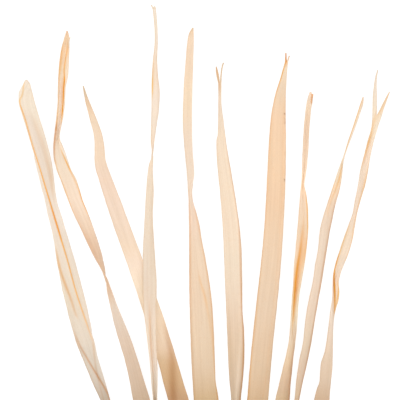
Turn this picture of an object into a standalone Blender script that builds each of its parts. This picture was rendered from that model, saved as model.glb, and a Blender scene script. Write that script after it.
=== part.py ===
"""Cut tip of a dried date palm frond: a tapering rachis (stem) with five leaflets on each side.

It lies on a surface at Z = 0, stem along Y, leaflet tips towards +Y.
Shapes are laid out on a drawing grid of UNIT metres: x runs to the right, y runs from the
leaflet tips down to the cut end of the stem.  Everything is moved at the end so that the
origin is under the middle of the whole frond.
"""
import math

import bmesh
import bpy
import numpy as np

# ---------------------------------------------------------------- driving dimensions
UNIT = 0.0009            # one drawing unit, metres
BLADE_THICK = 0.0005     # leaflet blade thickness, metres
FLOOR_GAP = 0.45         # how far a resting blade's mid surface is above the floor, units
RACHIS_TIP_Y = 470.0     # drawing y of the stem's thin end
RACHIS_CUT_Y = 790.0     # drawing y of the stem's cut end
RACHIS_TIP_HALF = 2.2    # half width of the stem at its thin end, units
RACHIS_CUT_HALF = 7.6    # half width of the stem at its cut end, units
RACHIS_HEIGHT = 1.45     # stem height as a share of its half width
JOIN_GAP = 0.55          # clear gap between a leaflet's foot and the stem, units
FOOT_WIDTH = 5.4         # width of a leaflet's foot, units
BLADE_COLS = 4           # quads across a blade
LOWER_ROWS = 8           # sections on the part of a blade nearest the stem

STRAW = (0.78, 0.62, 0.45, 1.0)
STEM = (0.62, 0.46, 0.30, 1.0)

# Each leaflet: rows of (y, left margin x, crease x, right margin x, crease share, left side, right side).
# The crease share is how much of the flat blade is left of the crease.  A side is +1 where that
# half of the blade rises from the crease and -1 where it hangs below it.
# width: (y, width of the flattened blade).  lift: (y, height over the floor), units.
LEAFLETS = {
    "leaflet_left_1": {
        "rows": [
            (28, 192.3, 193.2, 193.5, .5, -1, -1), (33, 189.5, 193.5, 192, .5, -1, -1),
            (40, 187.7, 193.7, 190.5, .5, -1, -1), (60, 185.9, 193.2, 189, .5, -1, -1),
            (90, 183.8, 192.3, 188, .5, -1, -1), (120, 183, 192.1, 187, .5, -1, -1),
            (150, 184.8, 192.7, 188.5, .5, -1, -1), (165, 186.3, 193.8, 191, .5, -1, -1),
            (174, 187.1, 194.2, 192.5, .5, -1, -1), (184, 187.8, 192.3, 192.9, .5, -1, -1),
            (193, 188.4, 190.5, 191.9, .5, -1, -1), (202, 188.8, 190, 193, .45, -1, -1),
            (212, 189, 190.3, 196, .4, -1, -1), (225, 189.3, 190.7, 199.3, .33, -1, -1),
            (240, 189.4, 191, 201.7, .28, -1, -1), (260, 189.4, 191.3, 205.7, .23, -1, -1),
            (280, 189.4, 191.6, 209, .2, -1, -1), (300, 189.7, 192.2, 211.7, .18, -1, -1),
            (330, 190.5, 194, 213.7, .2, -1, -.6), (360, 191.5, 197, 214.8, .26, -.6, .3),
            (380, 192.6, 200, 215.5, .32, 0, .7), (399, 193.8, 204, 218.4, .42, .4, 1),
        ],
        "width": [(28, 2), (33, 7), (40, 11), (60, 14.5), (90, 17), (120, 18.4), (160, 18), (200, 17),
                  (230, 15.5), (260, 18), (290, 22), (330, 24), (360, 24.2), (400, 25.4), (440, 22)],
        "lift": [(28, 1), (90, 0), (200, 2), (300, 0), (400, 1)],
        "foot_y": 480, "foot_fold": 0.8,
    },
    "leaflet_left_2": {
        "rows": [
            (86, 82.8, 83.2, 83.6, .5, 1, 1), (100, 85.2, 87, 88.8, .5, 1, 1), (120, 90.2, 93.6, 97, .5, 1, 1),
            (135, 94, 98.2, 102.3, .5, 1, 1), (145, 94.9, 99.4, 104.2, .5, 1, 1),
            (158, 94.8, 100, 105.4, .5, 1, 1), (166, 95.4, 101.2, 107.4, .5, 1, 1),
            (180, 99.3, 106, 112.7, .5, 1, 1), (200, 105.4, 113, 120.5, .5, 1, 1),
            (230, 115.3, 123.5, 131.6, .5, 1, 1), (260, 126, 134.4, 142.8, .5, 1, 1),
            (290, 136.2, 146, 153.7, .55, 1, 1), (315, 144.3, 157, 162.7, .7, 1, 1),
            (335, 150.2, 165.4, 169.1, .8, 1, 1), (350, 154.9, 168.4, 173.8, .72, 1, 1),
            (365, 159.2, 170.3, 178.3, .58, 1, 1), (382, 163.4, 171.6, 183.3, .43, 1, 1),
            (399, 168, 172.6, 188.5, .27, 1, 1),
        ],
        "width": [(86, .9), (100, 3.8), (120, 7.2), (135, 8.8), (150, 10), (165, 12.3), (200, 15.6),
                  (250, 17.2), (300, 18.6), (340, 20.2), (370, 21.3), (400, 22.4), (440, 22.5)],
        "lift": [(86, 0), (140, 4), (200, 5), (260, 1), (320, 0), (400, 0)],
        "foot_y": 528, "foot_fold": 0.8,
    },
    "leaflet_left_3": {
        "rows": [
            (6, 152.3, 153.8, 155.6, .5, 1, -1), (20, 154, 155.3, 156.7, .5, 1, -1),
            (40, 155, 156.3, 157.7, .5, 1, -1), (60, 153.2, 155, 157, .5, 1, -1),
            (75, 152.1, 155, 157.8, .5, 1, -1), (92, 151.7, 155.6, 159.6, .5, 1, -1),
            (108, 151.7, 155.4, 159, .5, 1, -1), (122, 151.4, 154.2, 157, .5, 1, -1),
            (135, 151.2, 153.1, 155.2, .5, 1, -1), (142, 151.2, 152.4, 154.2, .5, 1, -1),
            (148, 151.8, 151, 153.7, .5, 1, -1), (153, 152.6, 150.4, 153.1, .5, 1, -1),
            (158, 153.2, 150, 151.6, .5, 1, -1), (164, 153, 151, 149.3, .5, 1, -1),
            (172, 152.8, 150.4, 148.1, .5, 1, -1), (190, 153.7, 150, 146.4, .5, 1, -1),
            (215, 152.8, 149, 145.1, .5, 1, -1), (240, 154, 148.8, 143.7, .5, 1, -1),
            (265, 155.6, 149.2, 142.9, .5, 1, -.6), (285, 156.7, 149.6, 142.9, .5, 1, .6),
            (305, 156.4, 150, 143.7, .5, 1, 1), (325, 156.3, 150.8, 146, .45, 1, 1),
            (345, 156.5, 152.2, 148.4, .45, 1, 1), (365, 157.6, 153.6, 150.5, .45, 1, 1),
            (382, 157.6, 154.6, 151.7, .45, 1, 1), (399, 157.4, 155.4, 153.3, .45, 1, 1),
        ],
        "width": [(6, 3.4), (20, 3.4), (50, 5.5), (90, 8.4), (120, 9.4), (150, 10.2), (200, 12), (240, 13),
                  (270, 14), (300, 14.2), (350, 15), (400, 15.5), (450, 15)],
        "lift": [(6, 0), (80, 0), (150, 1), (220, 6), (300, 9), (350, 9), (400, 8)],
        "foot_y": 578, "foot_fold": 0.78,
    },
    "leaflet_left_4": {
        "rows": [
            (31, 66.8, 67.2, 67.6, .5, 1, 1), (36, 65.2, 67, 69.2, .5, 1, 1), (42, 63.5, 66, 69.6, .5, 1, 1),
            (50, 61.5, 65.2, 69.5, .5, 1, 1), (60, 60, 64.6, 69, .5, 1, 1), (72, 58.9, 64.2, 68.6, .5, 1, 1),
            (82, 58.4, 63.9, 67, .5, 1, 1), (90, 58.2, 63.8, 65.5, .5, 1, 1), (102, 58, 63.6, 65.2, .5, 1, 1),
            (114, 57.1, 62.2, 63.9, .5, 1, 1), (126, 55.8, 60, 61.6, .5, 1, 1), (137, 54.5, 58.6, 59.8, .5, 1, 1),
            (147, 53.8, 60.2, 63.2, .6, 1, .4), (157, 54.1, 63.6, 66.8, .72, .9, -.3),
            (168, 56.5, 67.4, 70.3, .75, .6, -.6), (180, 61, 73, 76.5, .76, .4, -.6),
            (200, 68.3, 77.5, 82.7, .6, .3, .2), (215, 74.5, 82.5, 88.6, .5, .5, -.6),
            (230, 82, 88.5, 94, .5, .8, -1), (245, 89, 94, 99, .5, 1, -1), (258, 95.6, 98.4, 102.6, .5, 1, -1),
            (265, 99.6, 98.9, 104.1, .5, 1, -1), (271, 103, 101.2, 105.2, .5, 1, -1),
            (277, 106.9, 103.2, 105.6, .5, 1, -1), (284, 109.6, 105.6, 106.4, .5, 1, -1),
            (292, 112.7, 109.2, 107.4, .5, 1, -1),
            (305, 117.3, 113.8, 110.2, .5, 1, -1), (320, 123.5, 118.5, 113.5, .5, 1, -1),
            (340, 131.4, 125.4, 119, .5, 1, -1), (360, 138, 131.6, 125, .5, .8, -.8),
            (380, 144, 136.9, 129.5, .5, .6, -.5), (399, 149.8, 141.6, 133, .5, .6, -.2),
        ],
        "width": [(31, 1.4), (36, 6), (42, 10), (60, 13.5), (90, 14.6), (130, 15.4), (180, 16.4), (230, 17),
                  (280, 17), (340, 17.2), (400, 17.6), (450, 17.5), (520, 15)],
        "lift": [(31, 2), (70, 0), (130, 1), (190, 3), (270, 0), (400, 0)],
        "foot_y": 630, "foot_fold": 0.76,
    },
    "leaflet_left_5": {
        "rows": [
            (80.1, 25.6, 25.4, 27.5, .5, -1, -1), (82, 24.9, 24.7, 28.9, .5, -1, -1),
            (84, 24.4, 24.1, 30.3, .5, -1, -1), (88, 23.8, 21.9, 31.4, .5, -1, -1),
            (94, 23.6, 19.3, 33.1, .5, -1, -1),
            (101, 24.5, 19.3, 35, .5, -1, -1), (115, 28, 22.7, 39, .5, -1, -1), (130, 32, 27.3, 43.7, .5, -1, -1),
            (143, 33.6, 31.4, 47.4, .5, -1, -1), (155, 34.2, 35.4, 50.4, .5, -1, -1),
            (165, 36, 38.7, 52.3, .5, -1, -1), (176, 38.9, 42.4, 53.6, .5, -1, -1),
            (188, 41.7, 46.3, 54.9, .5, -1, -1), (200, 45, 49.5, 56.5, .5, -1, -1),
            (215, 48.1, 54.2, 61, .5, -1, -1), (230, 52, 58.6, 65.5, .5, -1, -1),
            (245, 54.8, 63, 70, .5, -1, -1), (260, 57, 66.8, 74.5, .5, -1, -1),
            (275, 60, 71.2, 78.6, .5, -1, -1), (291, 63.2, 76.6, 82.8, .5, -1, -1),
            (306, 67, 81.8, 86.6, .5, -1, -1), (318, 70, 86, 89.2, .5, -1, -1),
            (330, 73.5, 90.6, 91.6, .5, -1, -1), (341, 76.8, 94.8, 92.6, .5, -1, -1),
            (355, 82, 97.9, 94, .5, -1, -1), (370, 88, 102.5, 97, .5, -1, -1),
            (385, 94, 107, 100.5, .5, -1, -1), (399, 100.4, 110.9, 104, .5, -1, -1),
        ],
        "width": [(80.3, 1.2), (84, 12), (88, 18), (94, 26.5), (101, 31.5), (115, 33), (300, 34), (360, 33.5),
                  (400, 32), (450, 28), (560, 22)],
        "lift": [(80.3, 0), (200, 0), (300, 1), (399, 0)],
        "foot_y": 684, "foot_fold": 0.76,
    },
    "leaflet_right_1": {
        "rows": [
            (83, 218.3, 219.8, 221.3, .5, -1, -1), (100, 218.5, 219.9, 221.1, .5, -1, -1),
            (120, 218.3, 221, 223.2, .5, -1, -1), (134, 217.9, 222.5, 225, .6, -.6, -1),
            (141, 216.5, 223.5, 225.8, .7, -.4, -1), (150, 216.6, 225, 227.2, .75, -.3, -1),
            (170, 217.9, 229, 230.7, .85, -.3, -1), (190, 219.9, 232.6, 234, .88, -.3, -1),
            (210, 221.6, 235.7, 237.1, .88, -.3, -1), (230, 223, 238.2, 239.7, .88, -.2, -1),
            (250, 223.9, 240, 241.4, .88, -.2, -1), (280, 225, 240.7, 242, .88, -.2, -1),
            (310, 226.3, 240.9, 242.2, .88, -.3, -1), (330, 227.2, 241, 243.8, .82, -.5, -1),
            (350, 228, 239.8, 244.3, .75, -.7, -1), (370, 228.9, 238.6, 243.5, .66, -1, -1),
            (385, 230, 237.4, 242.1, .6, -1, -1), (399, 231.3, 236.4, 240.7, .55, -1, -1),
        ],
        "width": [(83, 3.4), (100, 3.6), (120, 5.6), (134, 8), (150, 11.5), (180, 14.6), (210, 16.8),
                  (250, 18.8), (300, 18.8), (340, 18.8), (370, 18.6), (400, 18.6), (440, 17)],
        "lift": [(83, 2), (130, 0), (220, 1), (300, 3), (380, 0), (400, 0)],
        "split": {
            "left": [(66.8, 215.9, 216.6), (70, 215.9, 217.6), (76, 216.6, 218.9), (83, 218.3, 219.8)],
            "right": [(63, 223, 224), (66, 221.9, 222.9), (75, 220.6, 221.6), (83, 219.8, 221.3)],
        },
        "foot_y": 497, "foot_fold": 0.8,
    },
    "leaflet_right_2": {
        "rows": [
            (62, 284.9, 286.8, 287.9, .5, .3, -1), (70, 282.6, 286, 287, .7, .3, -1),
            (80, 279.8, 285.3, 286.3, .82, .3, -1), (95, 275.2, 284.4, 285.7, .88, .3, -1),
            (115, 271.3, 284.1, 285.6, .9, .3, -1), (140, 269, 284.1, 285.8, .9, .3, -1),
            (170, 267.4, 283.8, 285.5, .9, .2, -1), (200, 265.9, 282.8, 284.5, .9, .2, -1),
            (230, 264, 281.2, 283, .9, .2, -1), (260, 261.2, 279.2, 281, .9, .2, -1),
            (300, 256.7, 275.5, 277.4, .9, .2, -1), (340, 252.3, 271.2, 273.2, .9, .2, -1),
            (370, 249.5, 268.2, 270.5, .88, .3, -.6), (399, 247.2, 264, 268.1, .78, .6, .4),
        ],
        "width": [(62, 3.2), (70, 4.8), (80, 7), (95, 11), (115, 15), (140, 17.6), (170, 18.8), (200, 19.2),
                  (260, 20.4), (300, 21.4), (350, 21.8), (400, 22), (440, 21.5)],
        "lift": [(62, 2), (110, 0), (200, 5), (300, 2), (400, 0)],
        "split": {
            "left": [(53, 285.3, 286.2), (57, 285.2, 286.3), (62, 284.9, 286.8)],
            "right": [(56, 288.8, 289.5), (59, 287.8, 288.7), (62, 286.8, 287.9)],
        },
        "foot_y": 545, "foot_fold": 0.8,
    },
    "leaflet_right_3": {
        "rows": [
            (92, 309.9, 310.6, 311.3, .5, 1, 1), (100, 307.2, 309.8, 312.4, .5, 1, 1),
            (110, 305.6, 308.2, 310.9, .5, 1, 1), (130, 303.7, 306.4, 309, .5, 1, 1),
            (150, 302.6, 305.2, 308, .5, 1, 1), (165, 302, 304.2, 306.7, .5, 1, 1),
            (175, 301.8, 303.4, 305.3, .5, 1, 1), (184, 301.1, 302.6, 304, .5, 1, 1),
            (195, 300, 302.9, 306, .5, 1, 1), (210, 298.8, 303, 307.7, .5, 1, 1),
            (225, 297.6, 302.6, 308, .5, 1, 1), (240, 296.2, 301.2, 307.1, .5, 1, 1),
            (255, 294.9, 299.2, 305.5, .5, 1, 1), (268, 293.6, 297.4, 303.6, .5, 1, 1),
            (280, 293.2, 296.3, 301.4, .5, 1, 1), (295, 292, 295.1, 298.9, .5, 1, 1),
            (310, 290.9, 294, 297.6, .5, 1, 1), (325, 290, 293, 296.7, .55, 1, 1),
            (340, 288.7, 293, 295.4, .66, 1, .3), (355, 285.7, 291.8, 293.5, .76, 1, -.6),
            (370, 282, 290, 291.9, .82, 1, -1), (385, 278.5, 288.2, 290.4, .84, 1, -1),
            (399, 275.3, 286.6, 289.5, .8, 1, -1),
        ],
        "width": [(92, 1.6), (100, 6.6), (110, 7.6), (150, 9.4), (180, 10.5), (210, 12), (240, 13.4),
                  (270, 14.2), (300, 14.6), (340, 15), (400, 16.4), (450, 16)],
        "lift": [(92, 1), (130, 0), (200, 2), (280, 3), (340, 1), (399, 0)],
        "foot_y": 595, "foot_fold": 0.78,
    },
    "leaflet_right_4": {
        "rows": [
            (97, 362.7, 363.1, 363.5, .5, 1, -1), (103, 360.5, 361.8, 363, .5, 1, -1),
            (112, 357.6, 359, 360.3, .5, 1, -1), (130, 351.7, 353, 354.2, .5, 1, -1),
            (145, 346.7, 347.6, 348.5, .5, 1, -1), (155, 343.7, 344.4, 344.9, .5, 1, -.4),
            (165, 340, 341.7, 343, .5, 1, .4), (175, 336.6, 339.6, 341.8, .5, 1, 1),
            (190, 331.7, 336.4, 339.3, .55, 1, .6), (205, 326.7, 332.6, 335.1, .65, 1, 0),
            (215, 323.4, 330.9, 333, .75, 1, -.6), (230, 319.7, 328.4, 329.9, .85, 1, -1),
            (250, 317.6, 325.2, 326.6, .85, 1, -1), (265, 314.7, 322.8, 324.2, .85, 1, -1),
            (280, 312.7, 320.4, 321.8, .85, 1, -1), (300, 308.3, 316.6, 318.1, .85, 1, -1),
            (320, 305, 313.1, 314.6, .85, 1, -1), (340, 303, 310, 311.5, .85, 1, -1),
            (360, 298.9, 306, 307.6, .85, 1, -1), (380, 296, 301.2, 303, .8, 1, -1),
            (399, 294.2, 297.4, 299.2, .7, 1, -1),
        ],
        "width": [(97, .9), (103, 3.2), (120, 4.2), (150, 5.6), (180, 8.6), (210, 11.6), (250, 12.6),
                  (300, 13.2), (350, 13.6), (400, 14), (450, 14)],
        "lift": [(97, 3), (150, 1), (220, 0), (300, 2), (399, 1)],
        "foot_y": 647, "foot_fold": 0.76,
    },
    "leaflet_right_5": {
        "rows": [
            (116, 372.2, 376.3, 381.5, .5, 1, .2), (125, 371.7, 374.6, 378.4, .5, 1, .5),
            (140, 367.8, 370.4, 373.9, .5, 1, 1), (155, 364, 367.4, 370.3, .5, 1, 1),
            (170, 360.2, 364.5, 367.8, .5, 1, 1), (185, 357.8, 362.4, 365, .55, 1, .6),
            (200, 354.8, 358.6, 360.3, .55, 1, 0), (213, 352.3, 355, 356.9, .55, 1, -.6),
            (225, 348, 352.6, 354.7, .6, 1, -1), (240, 342.6, 350.3, 352, .75, .8, -1),
            (255, 337.8, 345.2, 347.6, .68, .8, -.6), (265, 334.8, 338.6, 343.5, .5, .9, 0),
            (275, 333, 334.8, 339.8, .38, 1, .6), (284, 332.4, 333.5, 338.2, .34, 1, 1),
            (292, 332.3, 334, 338.9, .36, 1, 1), (300, 331.8, 334.4, 338, .42, 1, 1),
            (308, 330.4, 333, 335.7, .5, 1, .6), (320, 328.9, 331.6, 333.8, .6, 1, 0),
            (335, 327, 331, 332.9, .7, 1, -.6), (350, 324.6, 331, 332.8, .8, 1, -1),
            (363, 320.8, 330.6, 332.4, .84, .8, -1), (372, 319.8, 330, 331.8, .84, .7, -1),
            (380, 319.4, 329.2, 331, .84, .7, -1), (390, 316.2, 328, 330, .84, .6, -1),
            (399, 314, 326.8, 329.3, .82, .6, -1),
        ],
        "width": [(116, 9.6), (125, 8.6), (150, 9.4), (180, 10.6), (210, 11.4), (240, 12.2), (280, 13),
                  (310, 13.2), (350, 13.8), (375, 15), (400, 17), (450, 17.5)],
        "lift": [(116, 2), (160, 0), (240, 3), (290, 1), (399, 0)],
        "split": {
            "left": [(70, 377.1, 377.8), (76, 375.3, 376.8), (85, 373.8, 376.2), (95, 372.7, 376.5),
                     (108, 372.3, 376.5), (116, 372.2, 376.3)],
            "right": [(92, 388.8, 389.5), (97, 386, 387.7), (104, 382.4, 385.3), (110, 379.6, 383.2),
                      (116, 376.3, 381.5)],
        },
        "foot_y": 700, "foot_fold": 0.76,
    },
}


# ---------------------------------------------------------------- curve helpers
def smooth_curve(keys, column, y):
    """Shape-preserving cubic through the rows' values, so that margins stay fair and never overshoot."""
    t = np.array([k[0] for k in keys], float)
    v = np.array([k[column] for k in keys], float)
    y = min(max(float(y), t[0]), t[-1])
    h = np.diff(t)
    d = np.diff(v) / h
    m = np.zeros(len(t))
    m[0], m[-1] = d[0], d[-1]
    for i in range(1, len(t) - 1):
        if d[i - 1] * d[i] > 0:
            a, b = 2 * h[i] + h[i - 1], h[i] + 2 * h[i - 1]
            m[i] = (a + b) / (a / d[i - 1] + b / d[i])
    i = int(min(max(np.searchsorted(t, y, side="right") - 1, 0), len(t) - 2))
    s = (y - t[i]) / h[i]
    return float(
        (1 + 2 * s) * (1 - s) ** 2 * v[i] + s * (1 - s) ** 2 * h[i] * m[i]
        + s * s * (3 - 2 * s) * v[i + 1] + s * s * (s - 1) * h[i] * m[i + 1]
    )


def rachis_x(y):
    """Gentle sideways bow of the stem."""
    return 222.0 + 4.5 * max(0.0, (y - 500.0) / 290.0) ** 2


def rachis_half(y):
    s = min(max((y - RACHIS_TIP_Y) / (RACHIS_CUT_Y - RACHIS_TIP_Y), 0.0), 1.0)
    return RACHIS_TIP_HALF + (RACHIS_CUT_HALF - RACHIS_TIP_HALF) * s ** 0.8


def rachis_top(y):
    return RACHIS_HEIGHT * rachis_half(y) + 1.2


def full_rows(name, leaflet):
    """The rows down to y 399, then a fair run from there to the foot beside the stem."""
    rows = [tuple(float(c) for c in r) for r in leaflet["rows"]]
    side = -1.0 if "left" in name else 1.0
    foot_y = leaflet["foot_y"]
    last, before = rows[-1], rows[-3]
    run = foot_y - last[0]
    centre = lambda r: (min(r[1:4]) + max(r[1:4])) / 2
    slope = (centre(last) - centre(before)) / (last[0] - before[0])
    target = rachis_x(foot_y) + side * (rachis_half(foot_y) + JOIN_GAP + FOOT_WIDTH / 2)
    end_slope = 1.75 * (target - centre(last)) / run
    flip = 1.0 if last[1] < last[3] else -1.0     # a blade that has turned over has its left margin on the right
    for k in range(1, LOWER_ROWS + 1):
        s = k / LOWER_ROWS
        y = last[0] + run * s
        c = ((1 + 2 * s) * (1 - s) ** 2 * centre(last) + s * (1 - s) ** 2 * run * slope
             + s * s * (3 - 2 * s) * target + s * s * (s - 1) * run * end_slope)
        full = smooth_curve(leaflet["width"], 1, min(y, leaflet["width"][-1][0]))
        start_wide = max(last[1:4]) - min(last[1:4])
        wide = (start_wide * (1 - s) ** 3 + 3 * s * (1 - s) ** 2 * 0.5 * (start_wide + leaflet["foot_fold"] * full)
                + 3 * s * s * (1 - s) * 0.62 * leaflet["foot_fold"] * full + s ** 3 * FOOT_WIDTH)
        ease = s * s * (3 - 2 * s)
        f = (last[2] - min(last[1:4])) / max(max(last[1:4]) - min(last[1:4]), 1e-6)
        f = f * (1 - ease) + 0.5 * ease
        q = last[4] * (1 - ease) + 0.5 * ease
        lo, hi = c - wide / 2, c + wide / 2
        left, right = (lo, hi) if flip > 0 else (hi, lo)
        if last[1] > min(last[1:4]) and flip > 0:   # left margin tucked under: bring it out before the foot
            left = lo
        sl = last[5] * (1 - ease) + ease
        sr = last[6] * (1 - ease) + ease
        rows.append((y, left, lo + f * wide, right, q, sl, sr))
    return rows


def blade_width(leaflet, y):
    foot = leaflet["foot_y"]
    keys = list(leaflet["width"])
    last_y, last_w = keys[-1]
    if last_y < foot - 30:
        keys += [(foot - 25, 0.5 * (last_w + FOOT_WIDTH)), (foot, FOOT_WIDTH + 0.8)]
    else:
        keys += [(foot, FOOT_WIDTH + 0.8)]
    return smooth_curve(keys, 1, y)


def lift_at(leaflet, y):
    """Height of the lowest point of the section over the floor, rising to the stem's side at the foot."""
    foot = leaflet["foot_y"]
    rise = 0.34 * rachis_top(foot)
    keys = list(leaflet["lift"]) + [(foot - 45, leaflet["lift"][-1][1] * 0.6 + 0.3 * rise), (foot, rise)]
    return smooth_curve(keys, 1, y)


def raw_section(leaflet, rows, y):
    """Left margin, crease and right margin at y, as (x, height over the crease)."""
    xl, xf, xr, q, sl, sr = (smooth_curve(rows, c, y) for c in range(1, 7))
    w = blade_width(leaflet, y)
    hl = sl * math.sqrt(max((q * w) ** 2 - (xf - xl) ** 2, 0.0))
    hr = sr * math.sqrt(max(((1 - q) * w) ** 2 - (xr - xf) ** 2, 0.0))
    return xl, xf, xr, hl, hr


def sections(leaflet, rows, ys):
    """Fair sections at ys: heights are averaged along the blade, because a leaf has no sudden kinks."""
    out = []
    reach = 5.0
    for y in ys:
        xl, xf, xr, _, _ = raw_section(leaflet, rows, y)
        near = [raw_section(leaflet, rows, min(max(y + d, rows[0][0]), rows[-1][0])) for d in (-reach, -reach / 2, 0, reach / 2, reach)]
        weight = (1, 2, 3, 2, 1)
        hl = sum(w * n[3] for w, n in zip(weight, near)) / 9
        hr = sum(w * n[4] for w, n in zip(weight, near)) / 9
        low = min(0.0, hl, hr)
        base = FLOOR_GAP + lift_at(leaflet, y) - low
        out.append((xl, base + hl, xf, base, xr, base + hr))
    return out


def across(section, u, cup=0.0):
    """Point of a section at u from -1 (left margin) to 1 (right margin), with a rounded crease."""
    xl, zl, xf, zf, xr, zr = section
    r = 0.22
    g = lambda t: (t + math.sqrt(t * t + r * r)) / (1 + math.sqrt(1 + r * r))
    a, b = g(u), g(-u)
    e0, e1 = g(1.0), g(-1.0)
    # pin both margins exactly
    x = xf + (xr - xf) * a / e0 + (xl - xf) * b / e0
    z = zf + (zr - zf) * a / e0 + (zl - zf) * b / e0
    pin = e1 / e0
    x -= ((xl - xf) if u > 0 else (xr - xf)) * pin * abs(u)
    z -= ((zl - zf) if u > 0 else (zr - zf)) * pin * abs(u)
    return x, z + cup * (1 - u * u)


def row_positions(leaflet, rows):
    """Section stations: closer together near the tip and where the crease or margins turn fast."""
    start, end = rows[0][0], rows[-1][0]
    keys = [r[0] for r in rows]
    ys = [start]
    while ys[-1] < end - 6:
        y = ys[-1]
        step = 7.0 if y < start + 16 else 15.0 if y < 399 else 20.0
        near = [k for k in keys if y + 0.6 * step < k < y + 1.4 * step]
        ys.append(near[0] if near and y < 399 else y + step)
    ys[-1] = end
    return ys


def material(name, colour, roughness):
    m = bpy.data.materials.new(name)
    m.use_nodes = True
    shader = m.node_tree.nodes["Principled BSDF"]
    shader.inputs["Base Color"].default_value = colour
    shader.inputs["Roughness"].default_value = roughness
    shader.inputs["Metallic"].default_value = 0.0
    return m


def add_object(name, bm, collection, mat):
    mesh = bpy.data.meshes.new(name)
    bm.to_mesh(mesh)
    bm.free()
    obj = bpy.data.objects.new(name, mesh)
    collection.objects.link(obj)
    mesh.materials.append(mat)
    return obj


def make_leaflet(name, leaflet, collection, mat):
    rows = full_rows(name, leaflet)
    ys = row_positions(leaflet, rows)
    split = leaflet.get("split")
    tine_rows = 0
    if split:
        deep = max(rows[0][0] - split["left"][0][0], rows[0][0] - split["right"][0][0])
        tine_rows = 2 if deep < 15 else 3 if deep < 30 else 5
    total = tine_rows + len(ys)
    bm = bmesh.new()
    # a flat grid: x holds the place across the blade (-1..1), y the section number
    bmesh.ops.create_grid(bm, x_segments=BLADE_COLS, y_segments=total - 1, size=1.0)
    for v in bm.verts:
        v.co.y = round((v.co.y + 1) / 2 * (total - 1))
    if tine_rows:
        cut = [e for e in bm.edges
               if all(abs(v.co.x) < 1e-4 for v in e.verts) and max(v.co.y for v in e.verts) <= tine_rows + 0.01]
        bmesh.ops.split_edges(bm, edges=cut)
    place = {}
    secs = sections(leaflet, rows, ys)
    for v in bm.verts:
        u, i = v.co.x, int(round(v.co.y))
        if i >= tine_rows:
            x, z = across(secs[i - tine_rows], u)
            place[v] = (x, ys[i - tine_rows], z)
            continue
        share = (tine_rows - i) / tine_rows
        middle = sum(f.calc_center_median().x for f in v.link_faces) / len(v.link_faces)
        tine = split["left"] if middle < 0 else split["right"]
        y = rows[0][0] + (tine[0][0] - rows[0][0]) * share
        a, b = smooth_curve(tine, 1, y), smooth_curve(tine, 2, y)
        t = abs(u) if middle > 0 else 1 - abs(u)
        if middle < 0:
            t = 1 + u
        top = across(secs[0], (-0.5 if middle < 0 else 0.5))[1]
        place[v] = (a + (b - a) * t, y, top + (1.2 if middle < 0 else 0.3) * share)
    for v, (x, y, z) in place.items():
        v.co = (x * UNIT, -y * UNIT, z * UNIT)
    bmesh.ops.recalc_face_normals(bm, faces=bm.faces)
    if sum(f.normal.z * f.calc_area() for f in bm.faces) < 0:
        bmesh.ops.reverse_faces(bm, faces=bm.faces)
    obj = add_object(name, bm, collection, mat)
    thick = obj.modifiers.new("blade_thickness", "SOLIDIFY")
    thick.thickness = BLADE_THICK
    thick.offset = 0.0
    obj.data.shade_smooth()
    return obj


def make_rachis(collection, mat):
    """Stem lofted from rounded sections with a flat underside, thick at the cut end."""
    sides = 12
    ys = [RACHIS_TIP_Y, 476, 488, 505, 525, 548, 572, 598, 624, 652, 680, 708, 735, 762, RACHIS_CUT_Y]
    bm = bmesh.new()
    rings = []
    for k, y in enumerate(ys):
        half, top = rachis_half(y), rachis_top(y)
        if k == 0:
            half, top = 0.5 * half, 0.55 * top
        ring = []
        for i in range(sides):
            a = 2 * math.pi * (i + 0.5) / sides
            x = half * math.copysign(abs(math.cos(a)) ** 0.85, math.cos(a))
            z = top * (0.42 + 0.58 * math.sin(a)) if math.sin(a) > -0.6 else 0.0
            ring.append(bm.verts.new(((rachis_x(y) + x) * UNIT, -y * UNIT, max(z, 0.0) * UNIT)))
        rings.append(ring)
    for low, high in zip(rings, rings[1:]):
        for i in range(sides):
            j = (i + 1) % sides
            bm.faces.new((low[i], low[j], high[j], high[i]))
    bm.faces.new(rings[0])
    bm.faces.new(list(reversed(rings[-1])))
    bmesh.ops.recalc_face_normals(bm, faces=bm.faces)
    obj = add_object("rachis", bm, collection, mat)
    obj.data.shade_smooth()
    obj.data.set_sharp_from_angle(angle=math.radians(40))
    return obj


def main():
    for obj in list(bpy.data.objects):
        bpy.data.objects.remove(obj, do_unlink=True)
    frond = bpy.data.collections.new("dried_date_palm_frond")
    bpy.context.scene.collection.children.link(frond)
    straw = material("dried_leaflet", STRAW, 0.6)
    stem = material("dried_rachis", STEM, 0.65)
    objects = [make_rachis(frond, stem)]
    for name in LEAFLETS:
        objects.append(make_leaflet(name, LEAFLETS[name], frond, straw))
    # origin under the middle of the whole frond
    bpy.context.view_layer.update()
    graph = bpy.context.evaluated_depsgraph_get()
    points = []
    for obj in objects:
        mesh = obj.evaluated_get(graph).to_mesh()
        co = np.empty(len(mesh.vertices) * 3, np.float32)
        mesh.vertices.foreach_get("co", co)
        points.append(co.reshape(-1, 3))
    cloud = np.concatenate(points)
    shift = (cloud.min(0) + cloud.max(0)) / 2
    for obj in objects:
        for v in obj.data.vertices:
            v.co.x -= float(shift[0])
            v.co.y -= float(shift[1])
        obj.data.update()
    print("middle of the frond, metres:", shift[:2], "lowest", cloud.min(0)[2])


main()
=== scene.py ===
"""Looks for the dried date palm frond: fine blades, stem, materials, floor, light and camera.

Shapes are laid out on the same drawing grid as the construction: x runs to the right, y runs from
the leaflet tips down to the cut end of the stem, and one step of the grid is UNIT metres.
"""
import math

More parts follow.
